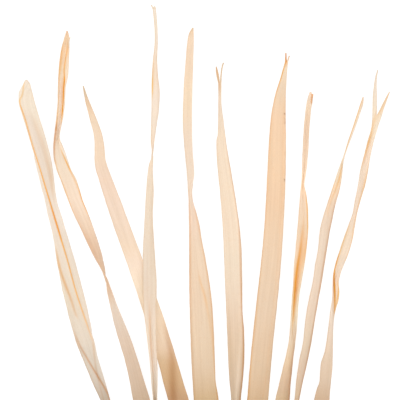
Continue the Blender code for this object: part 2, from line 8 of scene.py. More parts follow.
import bpy
import numpy as np
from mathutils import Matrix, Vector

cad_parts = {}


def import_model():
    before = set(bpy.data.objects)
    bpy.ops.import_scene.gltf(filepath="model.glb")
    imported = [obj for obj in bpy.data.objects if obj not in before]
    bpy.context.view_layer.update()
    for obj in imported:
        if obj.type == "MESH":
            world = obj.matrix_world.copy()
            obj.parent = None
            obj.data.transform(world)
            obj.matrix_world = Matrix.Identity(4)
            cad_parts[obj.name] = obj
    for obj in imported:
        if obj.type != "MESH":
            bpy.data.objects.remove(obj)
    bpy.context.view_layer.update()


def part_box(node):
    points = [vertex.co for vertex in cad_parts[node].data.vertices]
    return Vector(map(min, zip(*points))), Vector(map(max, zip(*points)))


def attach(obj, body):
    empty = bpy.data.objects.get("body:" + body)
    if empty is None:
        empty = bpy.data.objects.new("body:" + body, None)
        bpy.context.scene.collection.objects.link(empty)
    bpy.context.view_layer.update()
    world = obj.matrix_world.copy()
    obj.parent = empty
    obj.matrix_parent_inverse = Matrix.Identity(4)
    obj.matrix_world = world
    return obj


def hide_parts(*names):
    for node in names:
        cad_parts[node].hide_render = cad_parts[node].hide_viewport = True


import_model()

# ---------------------------------------------------------------- the construction's own numbers
UNIT = 0.0009
FLOOR_GAP = 0.45
RACHIS_TIP_Y = 470.0
RACHIS_CUT_Y = 790.0
RACHIS_TIP_HALF = 2.2
RACHIS_CUT_HALF = 7.6
RACHIS_HEIGHT = 1.45
JOIN_GAP = 0.55
FOOT_WIDTH = 5.4
LOWER_ROWS = 8
THICK = 0.00034          # shown blade thickness, metres

# y, left margin x, crease x, right margin x, crease share, left side, right side
LEAFLETS = {
    "leaflet_left_1": {
        "rows": [
            (28, 192.3, 193.2, 193.5, .5, -1, -1), (33, 189.5, 193.5, 192, .5, -1, -1),
            (40, 187.7, 193.7, 190.5, .5, -1, -1), (60, 185.9, 193.2, 189, .5, -1, -1),
            (90, 183.8, 192.3, 188, .5, -1, -1), (120, 183, 192.1, 187, .5, -1, -1),
            (150, 184.8, 192.7, 188.5, .5, -1, -1), (165, 186.3, 193.8, 191, .5, -1, -1),
            (174, 187.1, 194.2, 192.5, .5, -1, -1), (184, 187.8, 192.3, 192.9, .5, -1, -1),
            (193, 188.4, 190.5, 191.9, .5, -1, -1), (202, 188.8, 190, 193, .45, -1, -1),
            (212, 189, 190.3, 196, .4, -1, -1), (225, 189.3, 190.7, 199.3, .33, -1, -1),
            (240, 189.4, 191, 201.7, .28, -1, -1), (260, 189.4, 191.3, 205.7, .23, -1, -1),
            (280, 189.4, 191.6, 209, .2, -1, -1), (300, 189.7, 192.2, 211.7, .18, -1, -1),
            (330, 190.5, 194, 213.7, .2, -1, -.6), (360, 191.5, 197, 214.8, .26, -.6, .3),
            (380, 192.6, 200, 215.5, .32, 0, .7), (399, 193.8, 204, 218.4, .42, .4, 1),
        ],
        "width": [(28, 2), (33, 7), (40, 11), (60, 14.5), (90, 17), (120, 18.4), (160, 18), (200, 17),
                  (230, 15.5), (260, 18), (290, 22), (330, 24), (360, 24.2), (400, 25.4), (440, 22)],
        "lift": [(28, 1), (90, 0), (200, 2), (300, 0), (400, 1)],
        "foot_y": 480, "foot_fold": 0.8,
    },
    "leaflet_left_2": {
        "rows": [
            (86, 82.8, 83.2, 83.6, .5, 1, 1), (100, 85.2, 87, 88.8, .5, 1, 1), (120, 90.2, 93.6, 97, .5, 1, 1),
            (135, 94, 98.2, 102.3, .5, 1, 1), (145, 94.9, 99.4, 104.2, .5, 1, 1),
            (158, 94.8, 100, 105.4, .5, 1, 1), (166, 95.4, 101.2, 107.4, .5, 1, 1),
            (180, 99.3, 106, 112.7, .5, 1, 1), (200, 105.4, 113, 120.5, .5, 1, 1),
            (230, 115.3, 123.5, 131.6, .5, 1, 1), (260, 126, 134.4, 142.8, .5, 1, 1),
            (290, 136.2, 146, 153.7, .55, 1, 1), (315, 144.3, 157, 162.7, .7, 1, 1),
            (335, 150.2, 165.4, 169.1, .8, 1, 1), (350, 154.9, 168.4, 173.8, .72, 1, 1),
            (365, 159.2, 170.3, 178.3, .58, 1, 1), (382, 163.4, 171.6, 183.3, .43, 1, 1),
            (399, 168, 172.6, 188.5, .27, 1, 1),
        ],
        "width": [(86, .9), (100, 3.8), (120, 7.2), (135, 8.8), (150, 10), (165, 12.3), (200, 15.6),
                  (250, 17.2), (300, 18.6), (340, 20.2), (370, 21.3), (400, 22.4), (440, 22.5)],
        "lift": [(86, 0), (140, 4), (200, 5), (260, 1), (320, 0), (400, 0)],
        "foot_y": 528, "foot_fold": 0.8,
    },
    "leaflet_left_3": {
        "rows": [
            (6, 152.3, 153.8, 155.6, .5, 1, -1), (20, 154, 155.3, 156.7, .5, 1, -1),
            (40, 155, 156.3, 157.7, .5, 1, -1), (60, 153.2, 155, 157, .5, 1, -1),
            (75, 152.1, 155, 157.8, .5, 1, -1), (92, 151.7, 155.6, 159.6, .5, 1, -1),
            (108, 151.7, 155.4, 159, .5, 1, -1), (122, 151.4, 154.2, 157, .5, 1, -1),
            (135, 151.2, 153.1, 155.2, .5, 1, -1), (142, 151.2, 152.4, 154.2, .5, 1, -1),
            (148, 151.8, 151, 153.7, .5, 1, -1), (153, 152.6, 150.4, 153.1, .5, 1, -1),
            (158, 153.2, 150, 151.6, .5, 1, -1), (164, 153, 151, 149.3, .5, 1, -1),
            (172, 152.8, 150.4, 148.1, .5, 1, -1), (190, 153.7, 150, 146.4, .5, 1, -1),
            (215, 152.8, 149, 145.1, .5, 1, -1), (240, 154, 148.8, 143.7, .5, 1, -1),
            (265, 155.6, 149.2, 142.9, .5, 1, -.6), (285, 156.7, 149.6, 142.9, .5, 1, .6),
            (305, 156.4, 150, 143.7, .5, 1, 1), (325, 156.3, 150.8, 146, .45, 1, 1),
            (345, 156.5, 152.2, 148.4, .45, 1, 1), (365, 157.6, 153.6, 150.5, .45, 1, 1),
            (382, 157.6, 154.6, 151.7, .45, 1, 1), (399, 157.4, 155.4, 153.3, .45, 1, 1),
        ],
        "width": [(6, 3.4), (20, 3.4), (50, 5.5), (90, 8.4), (120, 9.4), (150, 10.2), (200, 12), (240, 13),
                  (270, 14), (300, 14.2), (350, 15), (400, 15.5), (450, 15)],
        "lift": [(6, 0), (80, 0), (150, 1), (220, 6), (300, 9), (350, 9), (400, 8)],
        "foot_y": 578, "foot_fold": 0.78,
    },
    "leaflet_left_4": {
        "rows": [
            (31, 66.8, 67.2, 67.6, .5, 1, 1), (36, 65.2, 67, 69.2, .5, 1, 1), (42, 63.5, 66, 69.6, .5, 1, 1),
            (50, 61.5, 65.2, 69.5, .5, 1, 1), (60, 60, 64.6, 69, .5, 1, 1), (72, 58.9, 64.2, 68.6, .5, 1, 1),
            (82, 58.4, 63.9, 67, .5, 1, 1), (90, 58.2, 63.8, 65.5, .5, 1, 1), (102, 58, 63.6, 65.2, .5, 1, 1),
            (114, 57.1, 62.2, 63.9, .5, 1, 1), (126, 55.8, 60, 61.6, .5, 1, 1), (137, 54.5, 58.6, 59.8, .5, 1, 1),
            (147, 53.8, 60.2, 63.2, .6, 1, .4), (157, 54.1, 63.6, 66.8, .72, .9, -.3),
            (168, 56.5, 67.4, 70.3, .75, .6, -.6), (180, 61, 73, 76.5, .76, .4, -.6),
            (200, 68.3, 77.5, 82.7, .6, .3, .2), (215, 74.5, 82.5, 88.6, .5, .5, -.6),
            (230, 82, 88.5, 94, .5, .8, -1), (245, 89, 94, 99, .5, 1, -1), (258, 95.6, 98.4, 102.6, .5, 1, -1),
            (265, 99.6, 98.9, 104.1, .5, 1, -1), (271, 103, 101.2, 105.2, .5, 1, -1),
            (277, 106.9, 103.2, 105.6, .5, 1, -1), (284, 109.6, 105.6, 106.4, .5, 1, -1),
            (292, 112.7, 109.2, 107.4, .5, 1, -1),
            (305, 117.3, 113.8, 110.2, .5, 1, -1), (320, 123.5, 118.5, 113.5, .5, 1, -1),
            (340, 131.4, 125.4, 119, .5, 1, -1), (360, 138, 131.6, 125, .5, .8, -.8),
            (380, 144, 136.9, 129.5, .5, .6, -.5), (399, 149.8, 141.6, 133, .5, .6, -.2),
        ],
        "width": [(31, 1.4), (36, 6), (42, 10), (60, 13.5), (90, 14.6), (130, 15.4), (180, 16.4), (230, 17),
                  (280, 17), (340, 17.2), (400, 17.6), (450, 17.5), (520, 15)],
        "lift": [(31, 2), (70, 0), (130, 1), (190, 3), (270, 0), (400, 0)],
        "foot_y": 630, "foot_fold": 0.76,
    },
    "leaflet_left_5": {
        "rows": [
            (80.1, 25.6, 25.4, 27.5, .5, -1, -1), (82, 24.9, 24.7, 28.9, .5, -1, -1),
            (84, 24.4, 24.1, 30.3, .5, -1, -1), (88, 23.8, 21.9, 31.4, .5, -1, -1),
            (94, 23.6, 19.3, 33.1, .5, -1, -1),
            (101, 24.5, 19.3, 35, .5, -1, -1), (115, 28, 22.7, 39, .5, -1, -1), (130, 32, 27.3, 43.7, .5, -1, -1),
            (143, 33.6, 31.4, 47.4, .5, -1, -1), (155, 34.2, 35.4, 50.4, .5, -1, -1),
            (165, 36, 38.7, 52.3, .5, -1, -1), (176, 38.9, 42.4, 53.6, .5, -1, -1),
            (188, 41.7, 46.3, 54.9, .5, -1, -1), (200, 45, 49.5, 56.5, .5, -1, -1),
            (215, 48.1, 54.2, 61, .5, -1, -1), (230, 52, 58.6, 65.5, .5, -1, -1),
            (245, 54.8, 63, 70, .5, -1, -1), (260, 57, 66.8, 74.5, .5, -1, -1),
            (275, 60, 71.2, 78.6, .5, -1, -1), (291, 63.2, 76.6, 82.8, .5, -1, -1),
            (306, 67, 81.8, 86.6, .5, -1, -1), (318, 70, 86, 89.2, .5, -1, -1),
            (330, 73.5, 90.6, 91.6, .5, -1, -1), (341, 76.8, 94.8, 92.6, .5, -1, -1),
            (355, 82, 97.9, 94, .5, -1, -1), (370, 88, 102.5, 97, .5, -1, -1),
            (385, 94, 107, 100.5, .5, -1, -1), (399, 100.4, 110.9, 104, .5, -1, -1),
        ],
        "width": [(80.3, 1.2), (84, 12), (88, 18), (94, 26.5), (101, 31.5), (115, 33), (300, 34), (360, 33.5),
                  (400, 32), (450, 28), (560, 22)],
        "lift": [(80.3, 0), (200, 0), (300, 1), (399, 0)],
        "foot_y": 684, "foot_fold": 0.76,
    },
    "leaflet_right_1": {
        "rows": [
            (83, 218.3, 219.8, 221.3, .5, -1, -1), (100, 218.5, 219.9, 221.1, .5, -1, -1),
            (120, 218.3, 221, 223.2, .5, -1, -1), (134, 217.9, 222.5, 225, .6, -.6, -1),
            (141, 216.5, 223.5, 225.8, .7, -.4, -1), (150, 216.6, 225, 227.2, .75, -.3, -1),
            (170, 217.9, 229, 230.7, .85, -.3, -1), (190, 219.9, 232.6, 234, .88, -.3, -1),
            (210, 221.6, 235.7, 237.1, .88, -.3, -1), (230, 223, 238.2, 239.7, .88, -.2, -1),
            (250, 223.9, 240, 241.4, .88, -.2, -1), (280, 225, 240.7, 242, .88, -.2, -1),
            (310, 226.3, 240.9, 242.2, .88, -.3, -1), (330, 227.2, 241, 243.8, .82, -.5, -1),
            (350, 228, 239.8, 244.3, .75, -.7, -1), (370, 228.9, 238.6, 243.5, .66, -1, -1),
            (385, 230, 237.4, 242.1, .6, -1, -1), (399, 231.3, 236.4, 240.7, .55, -1, -1),
        ],
        "width": [(83, 3.4), (100, 3.6), (120, 5.6), (134, 8), (150, 11.5), (180, 14.6), (210, 16.8),
                  (250, 18.8), (300, 18.8), (340, 18.8), (370, 18.6), (400, 18.6), (440, 17)],
        "lift": [(83, 2), (130, 0), (220, 1), (300, 3), (380, 0), (400, 0)],
        "split": {
            "left": [(66.8, 215.9, 216.6), (70, 215.9, 217.6), (76, 216.6, 218.9), (83, 218.3, 219.8)],
            "right": [(63, 223, 224), (66, 221.9, 222.9), (75, 220.6, 221.6), (83, 219.8, 221.3)],
        },
        "foot_y": 497, "foot_fold": 0.8,
    },
    "leaflet_right_2": {
        "rows": [
            (62, 284.9, 286.8, 287.9, .5, .3, -1), (70, 282.6, 286, 287, .7, .3, -1),
            (80, 279.8, 285.3, 286.3, .82, .3, -1), (95, 275.2, 284.4, 285.7, .88, .3, -1),
            (115, 271.3, 284.1, 285.6, .9, .3, -1), (140, 269, 284.1, 285.8, .9, .3, -1),
            (170, 267.4, 283.8, 285.5, .9, .2, -1), (200, 265.9, 282.8, 284.5, .9, .2, -1),
            (230, 264, 281.2, 283, .9, .2, -1), (260, 261.2, 279.2, 281, .9, .2, -1),
            (300, 256.7, 275.5, 277.4, .9, .2, -1), (340, 252.3, 271.2, 273.2, .9, .2, -1),
            (370, 249.5, 268.2, 270.5, .88, .3, -.6), (399, 247.2, 264, 268.1, .78, .6, .4),
        ],
        "width": [(62, 3.2), (70, 4.8), (80, 7), (95, 11), (115, 15), (140, 17.6), (170, 18.8), (200, 19.2),
                  (260, 20.4), (300, 21.4), (350, 21.8), (400, 22), (440, 21.5)],
        "lift": [(62, 2), (110, 0), (200, 5), (300, 2), (400, 0)],
        "split": {
            "left": [(53, 285.3, 286.2), (57, 285.2, 286.3), (62, 284.9, 286.8)],
            "right": [(56, 288.8, 289.5), (59, 287.8, 288.7), (62, 286.8, 287.9)],
        },
        "foot_y": 545, "foot_fold": 0.8,
    },
    "leaflet_right_3": {
        "rows": [
            (92, 309.9, 310.6, 311.3, .5, 1, 1), (100, 307.2, 309.8, 312.4, .5, 1, 1),
            (110, 305.6, 308.2, 310.9, .5, 1, 1), (130, 303.7, 306.4, 309, .5, 1, 1),
            (150, 302.6, 305.2, 308, .5, 1, 1), (165, 302, 304.2, 306.7, .5, 1, 1),
            (175, 301.8, 303.4, 305.3, .5, 1, 1), (184, 301.1, 302.6, 304, .5, 1, 1),
            (195, 300, 302.9, 306, .5, 1, 1), (210, 298.8, 303, 307.7, .5, 1, 1),
            (225, 297.6, 302.6, 308, .5, 1, 1), (240, 296.2, 301.2, 307.1, .5, 1, 1),
            (255, 294.9, 299.2, 305.5, .5, 1, 1), (268, 293.6, 297.4, 303.6, .5, 1, 1),
            (280, 293.2, 296.3, 301.4, .5, 1, 1), (295, 292, 295.1, 298.9, .5, 1, 1),
            (310, 290.9, 294, 297.6, .5, 1, 1), (325, 290, 293, 296.7, .55, 1, 1),
            (340, 288.7, 293, 295.4, .66, 1, .3), (355, 285.7, 291.8, 293.5, .76, 1, -.6),
            (370, 282, 290, 291.9, .82, 1, -1), (385, 278.5, 288.2, 290.4, .84, 1, -1),
            (399, 275.3, 286.6, 289.5, .8, 1, -1),
        ],
        "width": [(92, 1.6), (100, 6.6), (110, 7.6), (150, 9.4), (180, 10.5), (210, 12), (240, 13.4),
                  (270, 14.2), (300, 14.6), (340, 15), (400, 16.4), (450, 16)],
        "lift": [(92, 1), (130, 0), (200, 2), (280, 3), (340, 1), (399, 0)],
        "foot_y": 595, "foot_fold": 0.78,
    },
    "leaflet_right_4": {
        "rows": [
            (97, 362.7, 363.1, 363.5, .5, 1, -1), (103, 360.5, 361.8, 363, .5, 1, -1),
            (112, 357.6, 359, 360.3, .5, 1, -1), (130, 351.7, 353, 354.2, .5, 1, -1),
            (145, 346.7, 347.6, 348.5, .5, 1, -1), (155, 343.7, 344.4, 344.9, .5, 1, -.4),
            (165, 340, 341.7, 343, .5, 1, .4), (175, 336.6, 339.6, 341.8, .5, 1, 1),
            (190, 331.7, 336.4, 339.3, .55, 1, .6), (205, 326.7, 332.6, 335.1, .65, 1, 0),
            (215, 323.4, 330.9, 333, .75, 1, -.6), (230, 319.7, 328.4, 329.9, .85, 1, -1),
            (250, 317.6, 325.2, 326.6, .85, 1, -1), (265, 314.7, 322.8, 324.2, .85, 1, -1),
            (280, 312.7, 320.4, 321.8, .85, 1, -1), (300, 308.3, 316.6, 318.1, .85, 1, -1),
            (320, 305, 313.1, 314.6, .85, 1, -1), (340, 303, 310, 311.5, .85, 1, -1),
            (360, 298.9, 306, 307.6, .85, 1, -1), (380, 296, 301.2, 303, .8, 1, -1),
            (399, 294.2, 297.4, 299.2, .7, 1, -1),
        ],
        "width": [(97, .9), (103, 3.2), (120, 4.2), (150, 5.6), (180, 8.6), (210, 11.6), (250, 12.6),
                  (300, 13.2), (350, 13.6), (400, 14), (450, 14)],
        "lift": [(97, 3), (150, 1), (220, 0), (300, 2), (399, 1)],
        "foot_y": 647, "foot_fold": 0.76,
    },
    "leaflet_right_5": {
        "rows": [
            (116, 372.2, 376.3, 381.5, .5, 1, .2), (125, 371.7, 374.6, 378.4, .5, 1, .5),
            (140, 367.8, 370.4, 373.9, .5, 1, 1), (155, 364, 367.4, 370.3, .5, 1, 1),
            (170, 360.2, 364.5, 367.8, .5, 1, 1), (185, 357.8, 362.4, 365, .55, 1, .6),
            (200, 354.8, 358.6, 360.3, .55, 1, 0), (213, 352.3, 355, 356.9, .55, 1, -.6),
            (225, 348, 352.6, 354.7, .6, 1, -1), (240, 342.6, 350.3, 352, .75, .8, -1),
            (255, 337.8, 345.2, 347.6, .68, .8, -.6), (265, 334.8, 338.6, 343.5, .5, .9, 0),
            (275, 333, 334.8, 339.8, .38, 1, .6), (284, 332.4, 333.5, 338.2, .34, 1, 1),
            (292, 332.3, 334, 338.9, .36, 1, 1), (300, 331.8, 334.4, 338, .42, 1, 1),
            (308, 330.4, 333, 335.7, .5, 1, .6), (320, 328.9, 331.6, 333.8, .6, 1, 0),
            (335, 327, 331, 332.9, .7, 1, -.6), (350, 324.6, 331, 332.8, .8, 1, -1),
            (363, 320.8, 330.6, 332.4, .84, .8, -1), (372, 319.8, 330, 331.8, .84, .7, -1),
            (380, 319.4, 329.2, 331, .84, .7, -1), (390, 316.2, 328, 330, .84, .6, -1),
            (399, 314, 326.8, 329.3, .82, .6, -1),
        ],
        "width": [(116, 9.6), (125, 8.6), (150, 9.4), (180, 10.6), (210, 11.4), (240, 12.2), (280, 13),
                  (310, 13.2), (350, 13.8), (375, 15), (400, 17), (450, 17.5)],
        "lift": [(116, 2), (160, 0), (240, 3), (290, 1), (399, 0)],
        "split": {
            "left": [(70, 377.1, 377.8), (76, 375.3, 376.8), (85, 373.8, 376.2), (95, 372.7, 376.5),
                     (108, 372.3, 376.5), (116, 372.2, 376.3)],
            "right": [(92, 388.8, 389.5), (97, 386, 387.7), (104, 382.4, 385.3), (110, 379.6, 383.2),
                      (116, 376.3, 381.5)],
        },
        "foot_y": 700, "foot_fold": 0.76,
    },
}

# How each leaflet looks.  tone: (y, red, green, blue) as shown on a display; rows noted below are set paler as
# painted light that offsets shade.  bands: soft lines and marks that run along the blade, as rows of (y, x, half
# width, strength), and the tint they multiply by; some, noted at each, are painted shade in folds and curled edges,
# and painted highlights.
ORANGE = (0.97, 0.78, 0.44)
# painted shade in the valley of a fold
PAINTED_FOLD_SHADE = (0.94, 0.60, 0.13)
BROWN = (0.82, 0.64, 0.48)
# painted highlight for lit flanks
PAINTED_HIGHLIGHT = (1.05, 1.08, 1.12)
LOOKS = {
    "leaflet_left_1": {
        "seed": 1.0, "bow": 0.8, "round": 0.14, "rib": 2.4,
        "tone": [(28, .93, .80, .66), (40, .965, .855, .745), (60, .962, .85, .74), (100, .962, .857, .74),
                 (140, .955, .855, .76), (175, .95, .855, .765), (195, .95, .852, .76), (215, .95, .842, .748), (250, .942, .83, .72), (300, .932, .815, .70), (340, .925, .81, .69), (365, .91, .79, .665),
                 (385, .885, .755, .61), (399, .855, .715, .55), (470, .77, .62, .46), (489, .755, .605, .44)],
        "bands": [
            {"path": [(190, 188.6, .8, .3), (215, 189.6, 1, .7), (250, 190, 1.1, .9), (300, 190.4, 1, .6), (399, 194.5, 1, .5)], "tint": (.93, .78, .62)},
            {"path": [(196, 192, .8, .4), (215, 196.3, .9, .7), (240, 201, .9, .6), (300, 211, .9, .7), (360, 214.2, 1, .8), (399, 217.7, 1, .8)], "tint": (.93, .76, .56)},
            # painted highlight along the middle of the right half
            {"path": [(285, 203, 1.5, .1), (320, 204, 2.2, .4), (360, 205, 2.6, .5), (400, 206, 3, .4)], "tint": PAINTED_HIGHLIGHT},
            {"path": [(272, 198.4, .8, .2), (282, 200.6, 1, .9), (295, 204.5, 1.3, 1), (312, 208, 1.3, .6), (335, 211.5, 1.2, .4), (350, 212.6, 1, .2)], "tint": (1, .88, .69)},
        ],
    },
    "leaflet_left_2": {
        "seed": 2.0, "bow": 0.7, "round": 0.5, "rib": 2.8,
        "tone": [(86, .88, .76, .62), (92, .89, .775, .645), (97, .905, .785, .66), (104, .93, .80, .67),
                 (112, .94, .82, .70), (120, .945, .836, .727), (150, .95, .84, .735),
                 # painted light: the rows from 265 to 320 are set paler, to offset the shade left_3 casts across this
                 # blade
                 (180, .945, .83, .735), (210, .948, .838, .745), (245, .958, .85, .748), (265, .975, .875, .785), (290, .99, .90, .805),
                 (320, .965, .86, .75), (345, .945, .83, .715), (365, .897, .752, .59), (382, .87, .715, .545),
                 (399, .83, .66, .50), (475, .765, .605, .445), (537, .735, .575, .41)],
        "bands": [
            # painted shade: the dark band where the blade curls into a valley
            {"path": [(318, 163.5, 1.5, 0), (330, 166.5, 2.5, .35), (345, 170, 4, .55), (360, 172, 4.5, .65), (375, 172.5, 4.5, .7), (390, 173, 4.2, .75), (404, 173.5, 4, .7)], "tint": (.74, .54, .36)},
        ],
    },
    "leaflet_left_3": {
        "seed": 3.0, "bow": 1.1, "round": 0.2, "rib": 2.2, "cols": 26, "start": 9.5,
        "prongs": {
            "left": [(5.0, 150.9, 151.7), (7.2, 151.9, 152.8), (9.5, 152.6, 154.1)],
            "right": [(6.4, 153.8, 155.0), (7.4, 153.5, 155.6), (9.5, 154.1, 155.9)],
        },
        "tone": [(6, .965, .885, .81), (20, .948, .868, .785), (40, .94, .855, .775), (70, .945, .845, .75),
                 (95, .955, .865, .785), (120, .95, .865, .785), (150, .93, .83, .735), (160, .93, .835, .74),
                 # painted light: the rows from 290 down are set paler, to offset the shade of the steep folded lower
                 # blade
                 (190, .93, .842, .752), (240, .927, .838, .75), (290, .938, .843, .752), (320, .955, .87, .79),
                 (345, .96, .885, .815), (370, .95, .885, .825), (390, .93, .865, .80), (399, .91, .84, .77),
                 (485, .775, .645, .50), (587, .72, .56, .395)],
        "bands": [
            {"path": [(64, 153.2, .7, .2), (76, 152.7, .8, .7), (85, 152.4, .9, 1.1), (91, 152.3, .9, 1), (97, 152.2, .8, .3)], "tint": (1, .79, .40)},
            # painted shade in the crease of the lower fold; the next line is a painted highlight on its lit side
            {"path": [(296, 149.4, 1, 0), (318, 149.9, 1.1, .7), (330, 150.3, 1.2, .8), (350, 151.4, 1.1, .7), (380, 153.5, 1, .5), (404, 154.5, 1, .4)], "tint": (.93, .77, .61)},
            {"path": [(296, 155, .7, .2), (330, 154.6, .7, .6), (365, 155.2, .7, .6), (404, 156, .7, .5)], "tint": PAINTED_HIGHLIGHT},
        ],
    },
    "leaflet_left_4": {
        "seed": 4.0, "bow": 1.0, "round": 0.16, "rib": 2.6, "cols": 36,
        "slivers": [([(37.6, 70.3, .25), (39.5, 69.6, .4), (42, 69.0, .6), (48, 68.4, .3)], .3)],
        "tone": [(31, .94, .81, .69), (40, .945, .828, .70), (50, .955, .835, .705), (60, .955, .85, .74),
                 (75, .955, .865, .77), (90, .955, .865, .785), (112, .96, .885, .815), (125, .955, .875, .81), (135, .95, .865, .785),
                 (145, .945, .85, .755), (170, .955, .86, .765), (200, .965, .86, .765), (225, .945, .83, .725),
                 (245, .915, .785, .67), (262, .895, .765, .65),
                 (280, .90, .758, .625), (310, .925, .838, .762),
                 (340, .915, .812, .722), (360, .902, .79, .69), (385, .885, .768, .66), (399, .865, .745, .63),
                 (490, .765, .62, .47), (639, .71, .55, .385)],
        "bands": [
            # painted shade and glow inside the V-fold near the tip: the orange flanks and the red valley line, on this
            # and the next three lines
            {"path": [(44, 67.8, .6, .3), (50, 67.5, .7, .8), (60, 65.6, .7, 1), (66, 64.8, .75, 1.1), (72, 64.1, .8, 1), (76, 64.4, .6, .6)], "tint": (.97, .72, .36)},
            {"path": [(70, 65, .55, .1), (76, 64.8, .6, .8), (80, 64.7, .7, 1.4), (90, 63.9, .7, 1.5), (100, 63.5, .65, 1.3), (105, 63.2, .65, 1.2), (110, 62.8, .7, 1.4), (116, 62.4, .65, .9), (121, 61.9, .6, .5), (127, 61.3, .6, 0)], "tint": (.96, .62, .10)},
            {"path": [(78, 63.4, .9, .3), (84, 63, .9, .4), (90, 62.4, .9, .2), (100, 62.1, .9, .3), (106, 61.8, .8, .1)], "tint": ORANGE},
            {"path": [(44, 62.8, 1.1, .5), (50, 61.6, 1.5, .9), (60, 60.9, 1.6, 1), (70, 59.8, 1.5, 1), (80, 58.9, 1, .9), (90, 58.8, .9, .5), (100, 58.3, .9, .8), (110, 57.9, .9, .8), (120, 57.1, .8, 1), (130, 56.2, .9, 1.1)], "tint": (.96, .77, .50), "fade": 2},
            {"path": [(124, 56.4, .8, .5), (130, 56.0, .9, .9), (140, 54.9, 1.1, 1), (150, 54.4, 1, 1), (157, 54.8, .9, .7), (163, 55.8, .9, .3)], "tint": (.84, .62, .45), "fade": 3},
            {"path": [(160, 55.4, .8, .5), (172, 58.2, .8, .7), (190, 65.4, .8, .8), (203, 69.8, .8, .7), (215, 75, .8, .3), (240, 87.2, 1, .15), (262, 98, 1, .1)], "tint": (.97, .78, .50), "fade": 3},
            # painted light: the steep right edge is made paler, to offset the shade it stands in
            {"path": [(139, 60.8, .9, .9), (143, 60.6, 1.1, 1.2), (147, 61.4, 1.2, 1.1), (151, 62.8, 1.1, .8), (155, 65.4, 1.1, .8), (163, 69.3, 1, .6), (175, 74.6, .9, .4), (185, 78.6, .8, .3)], "tint": (1.10, 1.17, 1.27)},
            {"path": [(145, 60.8, .7, .1), (151, 61.8, .8, .5), (157, 64.2, .7, .9), (165, 67.7, .7, 1.2), (172, 70.8, .7, .8), (180, 74.8, .8, .5), (190, 79, .8, .7), (200, 82.5, .8, 1.3), (207, 85.2, .8, 1), (215, 88.2, .8, .4), (222, 91, .8, .2)], "tint": (.98, .68, .28)},
            # painted shade: the soft diagonal band where the blade twists
            {"path": [(205, 73, 2, .2), (225, 80.5, 2.6, .5), (245, 90.5, 2.8, .6), (262, 98, 2.2, .5)], "tint": (.93, .84, .76)},
        ],
    },
    "leaflet_left_5": {
        "seed": 5.0, "bow": 0.5, "round": 0.08, "rib": 3.0, "cols": 52,
        "tone": [(80, .955, .872, .79), (110, .955, .875, .79), (150, .947, .865, .785), (200, .945, .865, .785),
                 (250, .94, .863, .78), (300, .93, .848, .758), (330, .92, .835, .75), (360, .90, .82, .74),
                 (385, .875, .785, .70), (399, .83, .73, .63), (490, .765, .635, .49), (580, .735, .585, .43), (693, .70, .54, .375)],
        "bands": [
            # painted shade along the crease, on this and the next line
            {"path": [(103, 20.4, .6, .3), (108, 22.1, .6, 1.1), (120, 26.1, .55, 1.2), (145, 33.2, .6, 1), (170, 41.1, .58, 1.1), (200, 50, .6, 1.15), (230, 59, .72, 1.2), (260, 67.9, .62, 1.05), (290, 76.2, .62, 1), (320, 86.2, .7, .8), (338, 92.4, .8, .4)], "tint": (.97, .61, .20), "fade": 3},
            {"path": [(192, 47.6, .6, .1), (205, 51.5, .55, .3), (215, 54.4, .65, .8), (228, 58.4, .65, .8), (238, 61.2, .6, .3)], "tint": (.97, .74, .42), "fade": 3},
            {"path": [(338, 93.4, .8, .3), (345, 94, .9, .7), (370, 97, .9, .6), (399, 104, .9, .5)], "tint": (.90, .72, .55)},
            {"path": [(334, 75.6, .8, .3), (345, 78.8, .9, .7), (370, 88, .9, .6), (399, 100.6, .9, .5)], "tint": (.88, .74, .60)},
            {"path": [(112, 33, 1.6, 0), (125, 36.5, 2, .5), (143, 43, 2.4, .6), (160, 47.5, 2.2, .7), (175, 50.8, 1.8, .8), (190, 52.6, 1.5, .6), (205, 55, 1.4, .2)], "tint": (.93, .82, .70)},
            {"path": [(104, 24, 2.5, 0), (120, 30, 3.5, .6), (150, 40, 4, .6), (180, 47, 3, .5), (200, 51, 2.5, .2)], "tint": (.955, .93, .94)},
            # painted shade in the fold near the tip
            {"path": [(83, 24.6, .7, .4), (88, 23.9, .7, .8), (93, 23.5, .7, .8), (97, 22.3, .7, 1), (101, 20.5, .7, 1), (104, 20.8, .7, .5)], "tint": (.98, .74, .36), "fade": 2},
            # painted light: the right side of the fold is made paler, to offset its shade
            {"path": [(185, 52, 2, 0), (200, 54, 2.4, .5), (230, 63.4, 3, .7), (260, 72, 3.4, .8), (290, 80, 3.4, .8), (320, 88.6, 2.6, .8), (340, 94.5, 2, .2)], "tint": (1.06, 1.11, 1.20)},
            {"path": [(200, 46, 2, .2), (230, 55, 2.6, .6), (260, 62, 3.4, .6), (290, 69.5, 4, .5), (320, 78, 4, .1)], "tint": (.97, .94, .95)},
            # painted shade along the folded-over margin, on this and the next line, beside the steps below
            {"path": [(247, 56, 1, .2), (255, 57.4, 1.3, .8), (267, 59.9, 1.5, 1.1), (283.6, 65.5, 1.7, 1.1), (297.3, 71, 1.5, .9), (313.6, 76.4, 1.2, .6), (319, 79, 1, .1)], "tint": (.95, .75, .53)},
            {"path": [(328, 73.6, .8, .1), (345.5, 81, 1.1, .6), (361.8, 90, 1.2, .8), (377.3, 99.3, 1.3, .9), (391, 107.3, 1.3, .9), (404, 113, 1.2, .9)], "tint": (.87, .60, .38)},
        ],
        "steps": [
            {"path": [(247, 56), (267, 59.9), (283.6, 65.5), (297.3, 71), (313.6, 76.4), (322, 80)], "side": -1, "height": .55, "reach": 9},
            {"path": [(328, 73.6), (345.5, 81), (361.8, 90), (377.3, 99.3), (391, 107.3), (404, 113), (420, 118)], "side": -1, "height": .7, "reach": 14},
        ],
    },
    "leaflet_right_1": {
